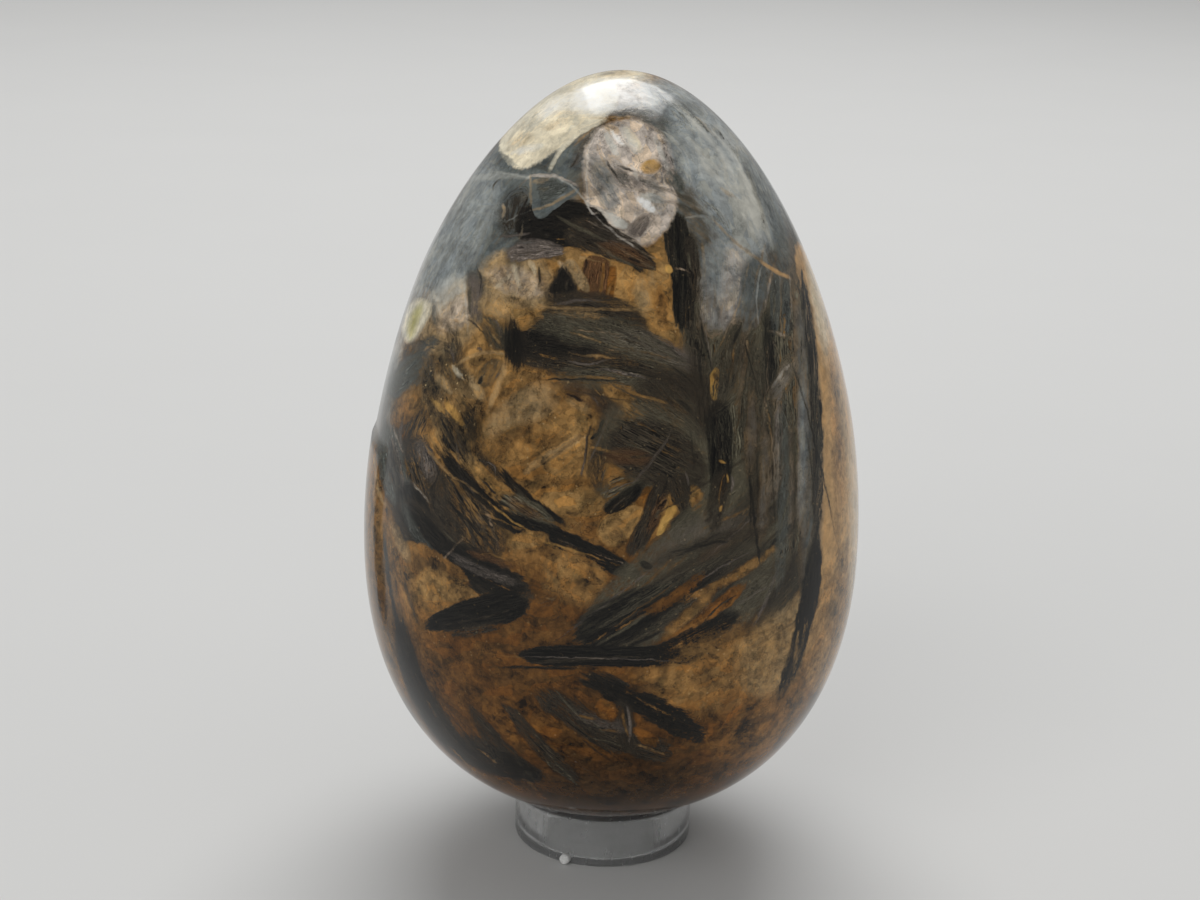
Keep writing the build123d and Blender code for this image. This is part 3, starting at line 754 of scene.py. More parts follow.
def needle_along(blade, rng):
    """A thin needle that lies somewhere along a blade and turns with its bow."""
    start, end = Vector(blade.start), Vector(blade.end)
    along = (end - start).normalized()
    left = Vector((along.y, -along.x))
    length = (end - start).length
    share = rng.uniform(0.1, 0.9)
    off_middle = 2 * share - 1
    aside = rng.gauss(0, 0.42) * blade.width + blade.bow * (1 - off_middle**2)
    middle = start + along * length * share + left * aside
    turn = rng.gauss(0, 0.10) - 4 * blade.bow * off_middle / length
    half = (along * math.cos(turn) + left * math.sin(turn)) * length * rng.uniform(0.10, 0.30)
    tone = rng.choice(BLACK_NEEDLE_TONES if blade.tone == "jet" else NEEDLE_TONES)
    width, bow = rng.uniform(1.2, 3.4), rng.gauss(0, 1.2)
    cover = rng.uniform(0.45, 0.9) if is_fibrous(tone) else rng.uniform(0.2, 0.55)
    return Crystal(tone, tuple(middle - half), tuple(middle + half), width, bow, 0, 1.5, 1, 1.4, cover)


def with_needles(crystals, rng):
    """The same crystals, each broad blade followed by its needles."""
    grown = []
    for crystal in crystals:
        grown.append(crystal)
        length = (Vector(crystal.end) - Vector(crystal.start)).length
        if is_fibrous(crystal.tone) and crystal.width >= NEEDLED_WIDTH and length >= NEEDLED_LENGTH:
            count = FEWEST_NEEDLES + round(length * crystal.width / NEEDLE_AREA)
            grown += [needle_along(crystal, rng) for _ in range(min(MOST_NEEDLES, count))]
    return grown


# The egg

# Where the ledge on the left flank starts and ends, in the photograph
LEDGE_HEAD = (379, 456)
LEDGE_FOOT = (386, 640)
# How wide the ledge's step is beside and above it
LEDGE_SIDE_EDGE, LEDGE_TOP_EDGE = 0.6 * MM, 0.9 * MM
# Where the sunk skin starts to rise again and is level: beside the step, above it and along its top
LEDGE_SIDE_RISE = (1 * MM, 11 * MM)
LEDGE_TOP_RISE = (2 * MM, 22 * MM)
LEDGE_TOP_WIDTH = (5 * MM, 15 * MM)
# The share of the ledge's height over which it deepens from its foot
LEDGE_FOOT_SHARE = 0.3

# How wide the hollows of hand polishing are, and the heights over the base between which they fade in
HOLLOW_WIDTH = 14 * MM
HOLLOWS_FADE_IN = (6 * MM, 20 * MM)

# Points of a spun outline that are nearer than this are one
SAME_PLACE = 0.0001 * MM


def outline_swell(sizes, share):
    """The outline's half width before sizing, at a share of the axis.

    The share goes from -1 at the base to 1 at the tip.
    """
    ellipse = math.sqrt(max(0.0, 1 - share**2))
    return ellipse * (1 + sizes.taper * share + sizes.fullness * share**2 + sizes.low_belly * share**3)


def egg_outline(sizes):
    """Points (radius, height) from the base to the tip, sized to the CAD egg's box."""
    shares = [-math.cos(math.pi * n / sizes.stations) for n in range(sizes.stations + 1)]
    widest = max(outline_swell(sizes, s) for s in shares)
    radius, height = (EGG_HIGH.x - EGG_LOW.x) / 2, EGG_HIGH.z - EGG_LOW.z
    return [(radius * outline_swell(sizes, s) / widest, EGG_LOW.z + height * (1 + s) / 2) for s in shares]


def spin_outline(bm, outline, turns):
    """Turns an outline in the XZ plane about Z into a closed skin with its normals outward."""
    verts = [bm.verts.new((radius, 0, height)) for radius, height in outline]
    edges = [bm.edges.new(pair) for pair in zip(verts, verts[1:])]
    bmesh.ops.spin(
        bm, geom=verts + edges, cent=(0, 0, 0), axis=(0, 0, 1), angle=2 * math.pi, steps=turns,
        use_merge=True,
    )
    bmesh.ops.remove_doubles(bm, verts=bm.verts, dist=SAME_PLACE)
    bmesh.ops.recalc_face_normals(bm, faces=bm.faces)


def soft_step(value, low, high):
    """A smooth rise from 0 to 1 as the value goes from low to high."""
    share = min(1.0, max(0.0, (value - low) / (high - low)))
    return share * share * (3 - 2 * share)


def polish_by_hand(bm, sizes, head, foot):
    """Sinks the skin in soft hollows, and along a ledge that comes down the left flank from head to foot.

    The skin steps down above the ledge's head and to the right of it, and rises again smoothly.
    """

    def bearing(place):
        return math.atan2(-place.y, -place.x)

    for vert in bm.verts:
        place = vert.co.copy()
        radius = math.hypot(place.x, place.y)
        hollow = (0.5 + 0.5 * noise.noise(place / HOLLOW_WIDTH)) * sizes.hand_polish
        hollow *= soft_step(place.z - EGG_LOW.z, *HOLLOWS_FADE_IN)
        share = (place.z - foot.z) / (head.z - foot.z)
        line = bearing(foot) + (bearing(head) - bearing(foot)) * min(share, 1.0)
        aside = (bearing(place) - line) * radius
        beside = soft_step(aside, 0, LEDGE_SIDE_EDGE) * (1 - soft_step(aside, *LEDGE_SIDE_RISE))
        beside *= soft_step(share, 0, LEDGE_FOOT_SHARE)
        rise = place.z - head.z
        fade = 1 - soft_step(rise, *LEDGE_TOP_RISE)
        above = soft_step(rise, 0, LEDGE_TOP_EDGE) * fade * (1 - soft_step(abs(aside), *LEDGE_TOP_WIDTH))
        if share > 1:
            beside *= fade
        if radius > 0:
            vert.co -= vert.normal * max(hollow, sizes.ledge * max(beside, above))


def new_piece(name, bm, body, node):
    """A smooth-shaded object from a finished bmesh, riding on its body in place of a CAD node."""
    mesh = bpy.data.meshes.new(name)
    bm.to_mesh(mesh)
    bm.free()
    mesh.shade_smooth()
    piece = bpy.data.objects.new(name, mesh)
    bpy.context.scene.collection.objects.link(piece)
    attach(piece, body)
    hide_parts(node)
    return piece


class Eye:
    """The camera's place and how a pixel of the photograph looks out from it."""

    def __init__(self, sizes):
        self.place = Vector((sizes.camera_side, -sizes.camera_back, sizes.camera_rise))
        level = Matrix.Rotation(math.pi / 2 - sizes.pitch, 3, "X")
        self.turn = level @ Matrix.Rotation(sizes.roll, 3, "Z")
        self.focal = sizes.lens / SENSOR_WIDTH * PHOTO_WIDTH

    def look(self, pixel):
        """The way from the camera through a pixel."""
        x, y = pixel
        ray = Vector((x - PHOTO_WIDTH / 2, PHOTO_HEIGHT / 2 - y, -self.focal))
        return (self.turn @ ray).normalized()


# The ways that strands may run: each crystal takes the one nearest to its own
STRAND_WAYS = [
    Vector(way).normalized()
    for way in (
        (1, 0, 0), (0, 1, 0), (0, 0, 1), (1, 1, 0), (-1, 1, 0), (1, 0, 1), (-1, 0, 1),
        (0, 1, 1), (0, -1, 1), (2, 0, 1), (1, 0, 2), (-2, 0, 1), (-1, 0, 2), (0, 2, 1),
        (0, 1, 2), (0, -2, 1), (0, -1, 2), (1, 1, 1), (1, -1, 1), (-1, 1, 1), (-1, -1, 1),
    )
]

# The side that the way across every crystal's fibres points to
FIBRE_SIDE = Vector((1.0, 0.37, 0.61))

# A pixel's width on the egg, in millimetres, for crystals that the photograph doesn't show
PIXEL = 0.106

# A distance that is well clear of the egg, in millimetres
CLEAR_OF_EGG = 90
# How far a crystal goes into the stone: a share of the depth that its own area bends through, and a spare
DEPTH_SHARE, DEPTH_SPARE = 1.5, 4.0

# Patches and swarms of blades for the sides and back: how many there are, and their seeds
PATCHES_UNSEEN, SWARMS, SWARM_BLADES = 52, 28, 9
PATCH_SEED, SWARM_SEED = 7, 5
# Their tones: patches low down and on the shoulders, dark blades, and pale ones with their share
PATCH_TONES = ("peat", "moss", "umber_and_shade", "peat", "rust", "tan", "moss", "sand", "slate", "jet", "honey")
# The shoulders' haze and mist are partly a painted reflection of soft light on the polish
SHOULDER_TONES = ("haze_and_sheen", "mist", "cream", "mist", "slate", "sand")
BLADE_TONES = ("peat", "jet", "moss", "slate", "mauve", "garnet", "peat")
PALE_TONES = ("frost", "gold", "honey", "sand")
PALE_SHARE = 0.3
# Shares of the egg's height: where the shoulders start, and the least and greatest where a crystal lies
SHOULDER_SHARE = 0.78
LOWEST_SHARE, HIGHEST_SHARE = 0.03, 0.97

# The egg's middle in the photograph, and how a pixel beside the egg is drawn in towards it
PHOTO_MIDDLE = (612, 450)
DRAW_IN_STEPS = 200
DRAW_IN_SHARE = 0.005

# One crystal ready for its node: where it lies in millimetres, and its shape
Laid = namedtuple("Laid", "middle along across deep way fibres bow taper ends ragged sharp cover tone")


def lay(crystal, start, end, side, out, pixel, skin):
    """Works out a crystal's frame from its ends, its half-width vector and the way out, in millimetres."""
    half, middle = (end - start) / 2, (start + end) / 2
    along = side.cross(out) / half.dot(side.cross(out))
    across = out.cross(half) / side.dot(out.cross(half))
    deep = half.cross(side) / out.dot(half.cross(side))
    depths = [0.0]
    for share in (-1, -0.5, 0, 0.5, 1):
        for turn in (-1, 0, 1):
            place = middle + half * share + side * turn
            hit = skin.ray_cast((place + out * CLEAR_OF_EGG) * MM, -out)[0]
            if hit is not None:
                depths.append((hit / MM - middle).dot(deep))
    reach = DEPTH_SHARE * (max(depths) - min(depths)) + DEPTH_SPARE
    width = side.length
    bow = crystal.bow * pixel / width
    middle = middle + out * (max(depths) + min(depths)) / 2 + side * bow
    way = max(range(len(STRAND_WAYS)), key=lambda n: abs(STRAND_WAYS[n].dot(half.normalized())))
    # Opposite signs would cancel where two crystals blend
    fibres = side.normalized() if side.dot(FIBRE_SIDE) > 0 else -side.normalized()
    return Laid(
        middle, along, across, deep / reach, way, fibres, bow, crystal.taper, crystal.ends,
        crystal.ragged * pixel / width, width / (2 * crystal.soft * pixel), crystal.cover, crystal.tone,
    )


def lay_seen(crystal, eye, skin):
    """Lays a crystal of the photograph on the egg's skin, looking from the camera."""

    def spot(x, y):
        """The place on the skin behind a pixel, which is drawn in towards the egg's middle if it is off."""
        for _ in range(DRAW_IN_STEPS):
            hit = skin.ray_cast(eye.place, eye.look((x, y)))[0]
            if hit is not None:
                return hit / MM
            x += (PHOTO_MIDDLE[0] - x) * DRAW_IN_SHARE
            y += (PHOTO_MIDDLE[1] - y) * DRAW_IN_SHARE
        raise RuntimeError("the camera doesn't see the egg")

    start, end = spot(*crystal.start), spot(*crystal.end)
    sight = eye.place / MM - (start + end) / 2
    out = sight.normalized()
    pixel = sight.length / eye.focal
    side = out.cross(end - start).normalized() * crystal.width / 2 * pixel
    return lay(crystal, start, end, side, out, pixel, skin)


def lay_about(crystal, bearing, rise, lean, length, width, skin):
    """Lays a crystal on the skin at a bearing and a share of the height, leaning from level.

    Its length and width are in millimetres.
    """
    height = EGG_LOW.z + (EGG_HIGH.z - EGG_LOW.z) * min(HIGHEST_SHARE, max(LOWEST_SHARE, rise))
    ray = Vector((math.cos(bearing), math.sin(bearing), 0))
    hit, out = skin.ray_cast(Vector((0, 0, height)), ray)[:2]
    out = out if out.dot(ray) > 0 else -out
    level = Vector((0, 0, 1)).cross(out).normalized()
    half = (level * math.cos(lean) + out.cross(level) * math.sin(lean)) * length / 2
    start, end = (skin.find_nearest(hit + half * turn * MM)[0] / MM for turn in (-1, 1))
    side = out.cross(end - start).normalized() * width / 2
    return lay(crystal, start, end, side, out, PIXEL, skin)


def grounds_unseen(rng, skin):
    """Broad patches for the sides and back, which the photograph doesn't show, from a seeded draw."""
    laid = []
    for _ in range(PATCHES_UNSEEN):
        bearing = math.radians(rng.uniform(-28, 208))
        rise = rng.uniform(LOWEST_SHARE, HIGHEST_SHARE)
        tone = rng.choice(SHOULDER_TONES if rise > SHOULDER_SHARE else PATCH_TONES)
        bow, taper = rng.gauss(0, 6), rng.uniform(-0.4, 0.4)
        ends, ragged = rng.choice((1.0, 1.5, 2.5)), rng.uniform(8, 24)
        crystal = Crystal(tone, None, None, 0, bow, taper, ends, ragged, 18, rng.uniform(0.7, 1.0))
        lean, length, width = rng.gauss(1.2, 0.4), rng.uniform(9, 26), rng.uniform(5, 16)
        laid.append(lay_about(crystal, bearing, rise, lean, length, width, skin))
    return laid


def blades_unseen(rng, skin):
    """Swarms of blades for the sides and back. The blades of a swarm lean nearly the same way."""
    laid = []
    for _ in range(SWARMS):
        bearing, rise = math.radians(rng.uniform(15, 165)), rng.uniform(0.05, 0.92)
        lean = rng.gauss(1.2, 0.5)
        for _ in range(SWARM_BLADES):
            tone, length, width = rng.choice(BLADE_TONES), rng.uniform(6, 21), rng.uniform(0.9, 4.6)
            cover = rng.uniform(0.75, 1.0)
            if rng.random() < PALE_SHARE:
                tone, length, width = rng.choice(PALE_TONES), rng.uniform(3, 9), rng.uniform(0.2, 0.8)
                cover = 0.6
            bow, taper = rng.gauss(0, 0.08) * length / PIXEL, rng.uniform(-0.4, 0.4)
            ends, ragged = rng.choice((1.0, 1.5, 2.0)), rng.uniform(0.1, 0.25) * width / PIXEL
            crystal = Crystal(tone, None, None, 0, bow, taper, ends, ragged, rng.uniform(1.5, 6), cover)
            place = bearing + rng.gauss(0, 0.15), rise + rng.gauss(0, 0.06)
            laid.append(lay_about(crystal, *place, lean + rng.gauss(0, 0.16), length, width, skin))
    return laid


# How many of each of the stone's markings there are to a millimetre
CLOUD_SCALE, CRACK_SCALE, OLIVE_SCALE, MOTTLE_SCALE = 0.11, 0.21, 0.33, 0.40
FACET_SCALE, VEIL_SCALE, DRIFT_SCALE, RELIEF_SCALE = 0.42, 0.5, 0.8, 0.9
SPECK_GLINT_SCALE, CHIP_SCALE, GRIT_SCALE, STREAK_SCALE = 1.5, 1.6, 1.9, 2.3

# The heights in millimetres between which the rust low on the egg gives way to tan: real orange-brown, made
# darker low down as painted shade
RUST_AND_SHADE_HEIGHTS = (10.0, 48.0)

# What ruddy facets and olive patches do to the ground's colour, and the colour of bright specks, which are
# painted glints on mineral grains
RUDDY_TINT = (1.02, 0.90, 0.72)
OLIVE_TINT = (0.42, 0.50, 0.56)
SPECK_GLINT_COLOUR = (0.70, 0.50, 0.24, 1)


def in_millimetres(wiring):
    """The place on the piece, in millimetres."""
    return wiring.scaled(wiring.add("ShaderNodeTexCoord", {}, "Object"), 1 / MM)


def wander_of(wiring, place):
    """A slow drift that keeps outlines from being straight."""
    drift = wiring.noise(place, DRIFT_SCALE, detail=4.0, rough=0.6, output=1)
    return wiring.vector("SUBTRACT", drift, (0.5, 0.5, 0.5))


def grit_of(wiring, place):
    """A fine roughness, as a value about 0."""
    return wiring.math("MULTIPLY_ADD", wiring.noise(place, GRIT_SCALE, detail=4.0, rough=0.7), 2.4, -1.2)


def clouds_of(wiring, place):
    """Broad clouds in which the groundmass changes."""
    return wiring.noise(place, CLOUD_SCALE, detail=5.0, rough=0.62, swirl=0.7)


def bed_group(tones):
    """What crystals lie in: the groundmass's colour, the place to lay them by, and what roughens them."""
    outputs = {"Place": "Vector", "Grit": "Float", "Veil": "Float", "Colour": "Color"}
    wiring, _, end = shader_group("stone_bed", {}, outputs)
    place = in_millimetres(wiring)
    common = wiring.step(clouds_of(wiring, place), 0.38, 0.62)
    common = wiring.mix(common, opaque(tones.tan), opaque(tones.honey))
    # Painted shade in part: the groundmass turns to darker rust towards the bottom
    low = wiring.step(wiring.parts(place)["Z"], *RUST_AND_SHADE_HEIGHTS, 0.85, 0.0)
    veil = wiring.noise(place, VEIL_SCALE, detail=5.0, rough=0.75)
    found = {
        "Place": wiring.vector("ADD", place, wiring.scaled(wander_of(wiring, place), 0.5)),
        "Grit": grit_of(wiring, place),
        "Veil": wiring.math("MULTIPLY_ADD", veil, 4.0, -1.9),
        "Colour": wiring.mix(low, common, opaque(tones.rust)),
    }
    wiring.join(end, found)
    return wiring.tree


def streak_group():
    """Strands that run one way through the stone, as a value about 0 that frays crystals along them."""
    wiring, given, end = shader_group("stone_streak", {"Way": "Vector"}, {"Streak": "Float"})
    place = in_millimetres(wiring)
    drawn_out = wiring.scaled(given["Way"], wiring.math("MULTIPLY", wiring.dot(place, given["Way"]), -0.87))
    streak = wiring.noise(wiring.vector("ADD", place, drawn_out), STREAK_SCALE, detail=4.0, rough=0.7)
    wiring.join(end, {"Streak": wiring.math("MULTIPLY_ADD", streak, 5.0, -2.5)})
    return wiring.tree


def finish_group():
    """The stone's grain, its fibres and the painted glints of its specks over its crystals, and how its
    polish varies.
    """
    inputs = {"Ground": "Color", "Blade": "Color", "Weave": "Vector", "Feel": "Vector"}
    outputs = {"Colour": "Color", "Roughness": "Float", "Relief": "Float"}
    wiring, given, end = shader_group("stone_finish", inputs, outputs)
    place = in_millimetres(wiring)
    wander = wander_of(wiring, place)
    loose = wiring.vector("ADD", place, wiring.scaled(wander, 0.5))
    grit = grit_of(wiring, place)
    weave = wiring.vector("NORMALIZE", given["Weave"])
    fibrous, grainy, sparkling = wiring.parts(given["Feel"])

    # Grain of the ground: broad mottling, long facets, chips, dark seams between facets and fine cracks
    mottle = wiring.noise(place, MOTTLE_SCALE, detail=6.0, rough=0.66, swirl=0.6)
    shards = wiring.scaled(weave, wiring.math("MULTIPLY", wiring.dot(loose, weave), 1.5))
    shards = wiring.vector("ADD", loose, shards)
    facet = wiring.add("ShaderNodeSeparateColor", {0: wiring.cells(shards, FACET_SCALE, "Color")})
    chip = wiring.add("ShaderNodeSeparateColor", {0: wiring.cells(loose, CHIP_SCALE, "Color")})
    seam = wiring.cells(shards, FACET_SCALE, feature="DISTANCE_TO_EDGE")
    seam = wiring.step(seam, 0.0, 0.08, 0.85, 1.0)
    crack = wiring.math("SUBTRACT", wiring.noise(place, CRACK_SCALE, detail=5.0, rough=0.6), 0.5)
    crack = wiring.step(wiring.math("ABSOLUTE", crack), 0.0, 0.008, 0.45, 1.0)
    shade = wiring.math("MULTIPLY_ADD", mottle, 4.4, -1.75)
    shade = wiring.math("MULTIPLY_ADD", facet, 0.65, shade)
    shade = wiring.math("MULTIPLY_ADD", chip, 0.60, shade)
    shade = wiring.math("MULTIPLY_ADD", grit, 0.40, shade)
    shade = wiring.math("MULTIPLY", wiring.math("MULTIPLY", shade, seam), crack)
    shade = wiring.math("MULTIPLY_ADD", wiring.math("SUBTRACT", shade, 1.0), grainy, 1.0)
    ground = wiring.scaled(given["Ground"], wiring.math("MAXIMUM", shade, 0.10))

    # Ruddy facets and olive patches
    ruddy = wiring.math("MULTIPLY", wiring.step(facet, 0.45, 0.8), grainy)
    ground = wiring.mix(ruddy, ground, wiring.vector("MULTIPLY", ground, RUDDY_TINT))
    olive = wiring.noise(place, OLIVE_SCALE, detail=6.0, rough=0.7, swirl=0.8)
    olive = wiring.math("MULTIPLY", wiring.step(olive, 0.50, 0.68, 0.0, 0.65), grainy)
    ground = wiring.mix(olive, ground, wiring.vector("MULTIPLY", ground, OLIVE_TINT))

    # Fibres along each crystal: strands that hide the ground, each lighter or darker
    gentle = wiring.vector("ADD", place, wiring.scaled(wander, 0.25))
    strands = wiring.scaled(weave, wiring.math("MULTIPLY", wiring.dot(gentle, weave), 3.4))
    strands = wiring.vector("ADD", strands, wiring.scaled(place, 0.22))
    strand = wiring.noise(strands, 1.0, detail=6.0, rough=0.74)
    sheen = wiring.noise(strands, 2.2, detail=4.0, rough=0.74)
    hidden = wiring.math("MULTIPLY_ADD", fibrous, 1.45, wiring.math("MULTIPLY_ADD", strand, 4.0, -2.4))
    blade = wiring.scaled(given["Blade"], wiring.step(sheen, 0.40, 0.74, 0.3, 8.0))
    deeper = wiring.scaled(ground, wiring.math("MULTIPLY_ADD", fibrous, -0.5, 1.0))
    colour = wiring.mix(wiring.step(hidden, 0.42, 0.72), deeper, blade)

    # Bright specks, painted glints on mineral grains, thick where the ground sparkles and sparse elsewhere
    speck_glint = wiring.step(wiring.cells(loose, SPECK_GLINT_SCALE), 0.10, 0.22, 1.0, 0.0)
    chosen = wiring.math("MULTIPLY", wiring.step(grit, 0.0, 0.35), wiring.math("ADD", sparkling, 0.10))
    speck_glint = wiring.math("MULTIPLY", speck_glint, chosen, clamp=True)

    # The polish is a little duller on fibres and in clouds
    roughness = wiring.math("MULTIPLY_ADD", fibrous, 0.07, 0.10)
    duller = wiring.step(clouds_of(wiring, place), 0.4, 0.7)
    found = {
        "Colour": wiring.mix(speck_glint, colour, SPECK_GLINT_COLOUR),
        "Roughness": wiring.math("MULTIPLY_ADD", duller, 0.05, roughness),
        "Relief": wiring.noise(place, RELIEF_SCALE, detail=3.0, rough=0.6),
    }
    wiring.join(end, found)
    return wiring.tree


def stone_material(name, tones, groups, crystals):
    """Polished stone: the groundmass and the crystals laid over it in turn, in one zone of the skin."""
    material, wiring = new_material(name)
    bed_tree, streak_tree, crystal_tree, finish_tree = groups
    bed = wiring.group(bed_tree, {})
    colour = bed["Colour"]
    blade = opaque(tones.peat)
    weave = (0.0, 0.0, 0.0)
    feel = FEEL["tan"]
    streaks = {}
    for laid in crystals:
        streaky, fibrous = FEEL[laid.tone][0] > 0, is_fibrous(laid.tone)
        if streaky and laid.way not in streaks:
            streaks[laid.way] = wiring.group(streak_tree, {"Way": STRAND_WAYS[laid.way]})["Streak"]
        made = wiring.group(
            crystal_tree,
            {
                "Place": bed["Place"],
                "Grit": streaks[laid.way] if streaky else bed["Grit"],
                "Veil": streaks[laid.way] if streaky else bed["Veil"],
                "Colour": blade if fibrous else colour, "Weave": weave, "Feel": feel,
                "Middle": laid.middle, "Along": laid.along, "Across": laid.across, "Deep": laid.deep,
                "Bow": laid.bow, "Taper": laid.taper, "Ends": laid.ends, "Ragged": laid.ragged,
                "Sharp": laid.sharp, "Cover": laid.cover, "Tone": opaque(getattr(tones, laid.tone)),
                "Fibres": laid.fibres, "Touch": FEEL[laid.tone],
            },
        )
        weave, feel = made["Weave"], made["Feel"]
        if fibrous:
            blade = made["Colour"]
        else:
            colour = made["Colour"]
    done = wiring.group(finish_tree, {"Ground": colour, "Blade": blade, "Weave": weave, "Feel": feel})
    normal = wiring.bump(done["Relief"], 0.12)
    look = {
        "Base Color": done["Colour"], "Roughness": done["Roughness"], "Normal": normal,
        "IOR": 1.5, "Specular IOR Level": 0.24,
    }
    finish_material(wiring, look)
    return material


# A zone shows every crystal that comes this near to it, as a share of the crystal's size
NEAR_SHARE = 1.25
# The least width of a tapering crystal, as a share of its middle's
LEAST_WIDTH_SHARE = 0.05
# The zones of the skin, each with a material of its own, because one material can't hold every crystal
SECTORS = 14
BANDS = 7


def zone_of(x, y, z):
    """The part of the skin that a place is in: a sector round the axis and a band of height."""
    sector = np.floor((np.arctan2(y, x) / (2 * math.pi) + 0.5) * SECTORS).astype(int) % SECTORS
    band = np.clip(((z - EGG_LOW.z) / (EGG_HIGH.z - EGG_LOW.z) * BANDS).astype(int), 0, BANDS - 1)
    return sector * BANDS + band


def zones_touched(laid, centres, zones):
    """Which zones a laid crystal shows in."""
    reach = centres / MM - np.array(laid.middle)
    along = reach @ np.array(laid.along)
    width = np.maximum(1 + laid.taper * along, LEAST_WIDTH_SHARE)
    across = (reach @ np.array(laid.across) + laid.bow * along**2) / width
    outside = np.abs(along) ** (2 * laid.ends) + across**2 + (reach @ np.array(laid.deep)) ** 2
    return set(zones[outside < NEAR_SHARE + 0.5 / laid.sharp + laid.ragged].tolist())


class STONE_OT_egg(Operator):
    """Make the polished egg in place of the CAD egg"""

    bl_idname = "stone_egg.egg"
    bl_label = "Egg"

    def execute(self, context):
        sizes, tones = context.scene.egg_sizes, context.scene.stone_tones
        bm = bmesh.new()
        spin_outline(bm, egg_outline(sizes), sizes.turns)
        skin = BVHTree.FromBMesh(bm)
        eye = Eye(context.scene.stage_sizes)
        head, foot = (skin.ray_cast(eye.place, eye.look(spot))[0] for spot in (LEDGE_HEAD, LEDGE_FOOT))
        polish_by_hand(bm, sizes, head, foot)
        seen = with_needles(CRYSTALS, random.Random(NEEDLE_SEED))
        crystals = grounds_unseen(random.Random(PATCH_SEED), skin)
        crystals += [lay_seen(crystal, eye, skin) for crystal in GROUNDS]
        crystals += blades_unseen(random.Random(SWARM_SEED), skin)
        crystals += [lay_seen(crystal, eye, skin) for crystal in seen]
        piece = new_piece("polished_egg", bm, "egg", "egg")
        centres = np.zeros(len(piece.data.polygons) * 3)
        piece.data.polygons.foreach_get("center", centres)
        centres = centres.reshape(-1, 3)
        zones = zone_of(*centres.T)
        touched = [zones_touched(laid, centres, zones) for laid in crystals]
        groups = bed_group(tones), streak_group(), crystal_group(), finish_group()
        for zone in range(SECTORS * BANDS):
            here = [laid for laid, where in zip(crystals, touched) if zone in where]
            piece.data.materials.append(stone_material(f"stone_{zone}", tones, groups, here))
        piece.data.polygons.foreach_set("material_index", zones.astype(np.int32))
        piece.data.update()
        return {"FINISHED"}


# The ring

# How many steps round off each corner of the wall, sides the stub has and steps round off its end
CORNER_STEPS, STUB_SIDES, STUB_END_STEPS = 8, 24, 4
# How wide the lumps are where the stub was torn off
TEAR_WIDTH = 0.3 * MM

# The plastic's colours: torn and its pits, and clear and its milky flow
TORN_WHITE, PIT_GREY = (0.92, 0.92, 0.90, 1), (0.62, 0.62, 0.60, 1)
CLEAR, MILKY = (0.97, 0.98, 0.98, 1), (0.88, 0.89, 0.88, 1)


def ring_wall_outline(sizes):
    """The wall's outline (radius, height), once round, with each corner an arc."""
    outer, height = (RING_HIGH.x - RING_LOW.x) / 2, RING_HIGH.z - RING_LOW.z
    inner = outer - sizes.wall
    corners = [
        (inner + sizes.foot, sizes.foot, sizes.foot, 180),
        (outer - sizes.foot, sizes.foot, sizes.foot, 270),
        (outer - sizes.rim, height - sizes.rim, sizes.rim, 0),
        (inner + sizes.seat, height - sizes.seat, sizes.seat, 90),
    ]
    points = []
    for radius, rise, rounding, first in corners:
        for n in range(CORNER_STEPS + 1):
            angle = math.radians(first + 90 * n / CORNER_STEPS)
            points.append((radius + rounding * math.cos(angle), rise + rounding * math.sin(angle)))
    return points


def add_stub(bm, sizes):
    """The white stub where the ring's moulding gate was snapped off, just above the floor."""
    outer = (RING_HIGH.x - RING_LOW.x) / 2
    length = sizes.stub_root + sizes.stub_stand_out
    radius = sizes.stub / 2
    stub = bmesh.new()
    bmesh.ops.create_cone(
        stub, cap_ends=True, segments=STUB_SIDES, radius1=radius, radius2=radius, depth=length
    )
    outer_end = [edge for edge in stub.edges if all(vert.co.z > 0 for vert in edge.verts)]
    bmesh.ops.bevel(
        stub, geom=outer_end, offset=sizes.stub_rounding, affect="EDGES", segments=STUB_END_STEPS,
        profile=0.5, material=-1,
    )
    for vert in stub.verts:
        if vert.co.z > length / 2 - sizes.stub_rounding:
            vert.co.z -= (0.5 + 0.5 * noise.noise(vert.co / TEAR_WIDTH)) * sizes.stub_rounding / 2
    for face in stub.faces:
        face.material_index = 1
    lie = Matrix.Rotation(math.pi / 2, 4, "Y")
    middle = Vector((outer - sizes.stub_root + length / 2, 0, sizes.stub_floor_gap + radius))
    turn = Matrix.Rotation(sizes.stub_bearing, 4, "Z")
    bmesh.ops.transform(stub, matrix=turn @ Matrix.Translation(middle) @ lie, verts=stub.verts)
    mesh = bpy.data.meshes.new("stub")
    stub.to_mesh(mesh)
    stub.free()
    bm.from_mesh(mesh)
    bpy.data.meshes.remove(mesh)


def stressed_plastic():
    """The same plastic where it was torn: white and rough, with fine pits."""
    material, wiring = new_material("stressed_plastic")
    place = in_millimetres(wiring)
    torn = wiring.noise(place, 5.0, detail=4.0, rough=0.7)
    colour = wiring.mix(wiring.step(torn, 0.35, 0.65), PIT_GREY, TORN_WHITE)
    roughness = wiring.step(torn, 0.3, 0.7, 0.35, 0.7)
    look = {"Base Color": colour, "Roughness": roughness, "Normal": wiring.bump(torn, 0.5)}
    finish_material(wiring, look)
    return material


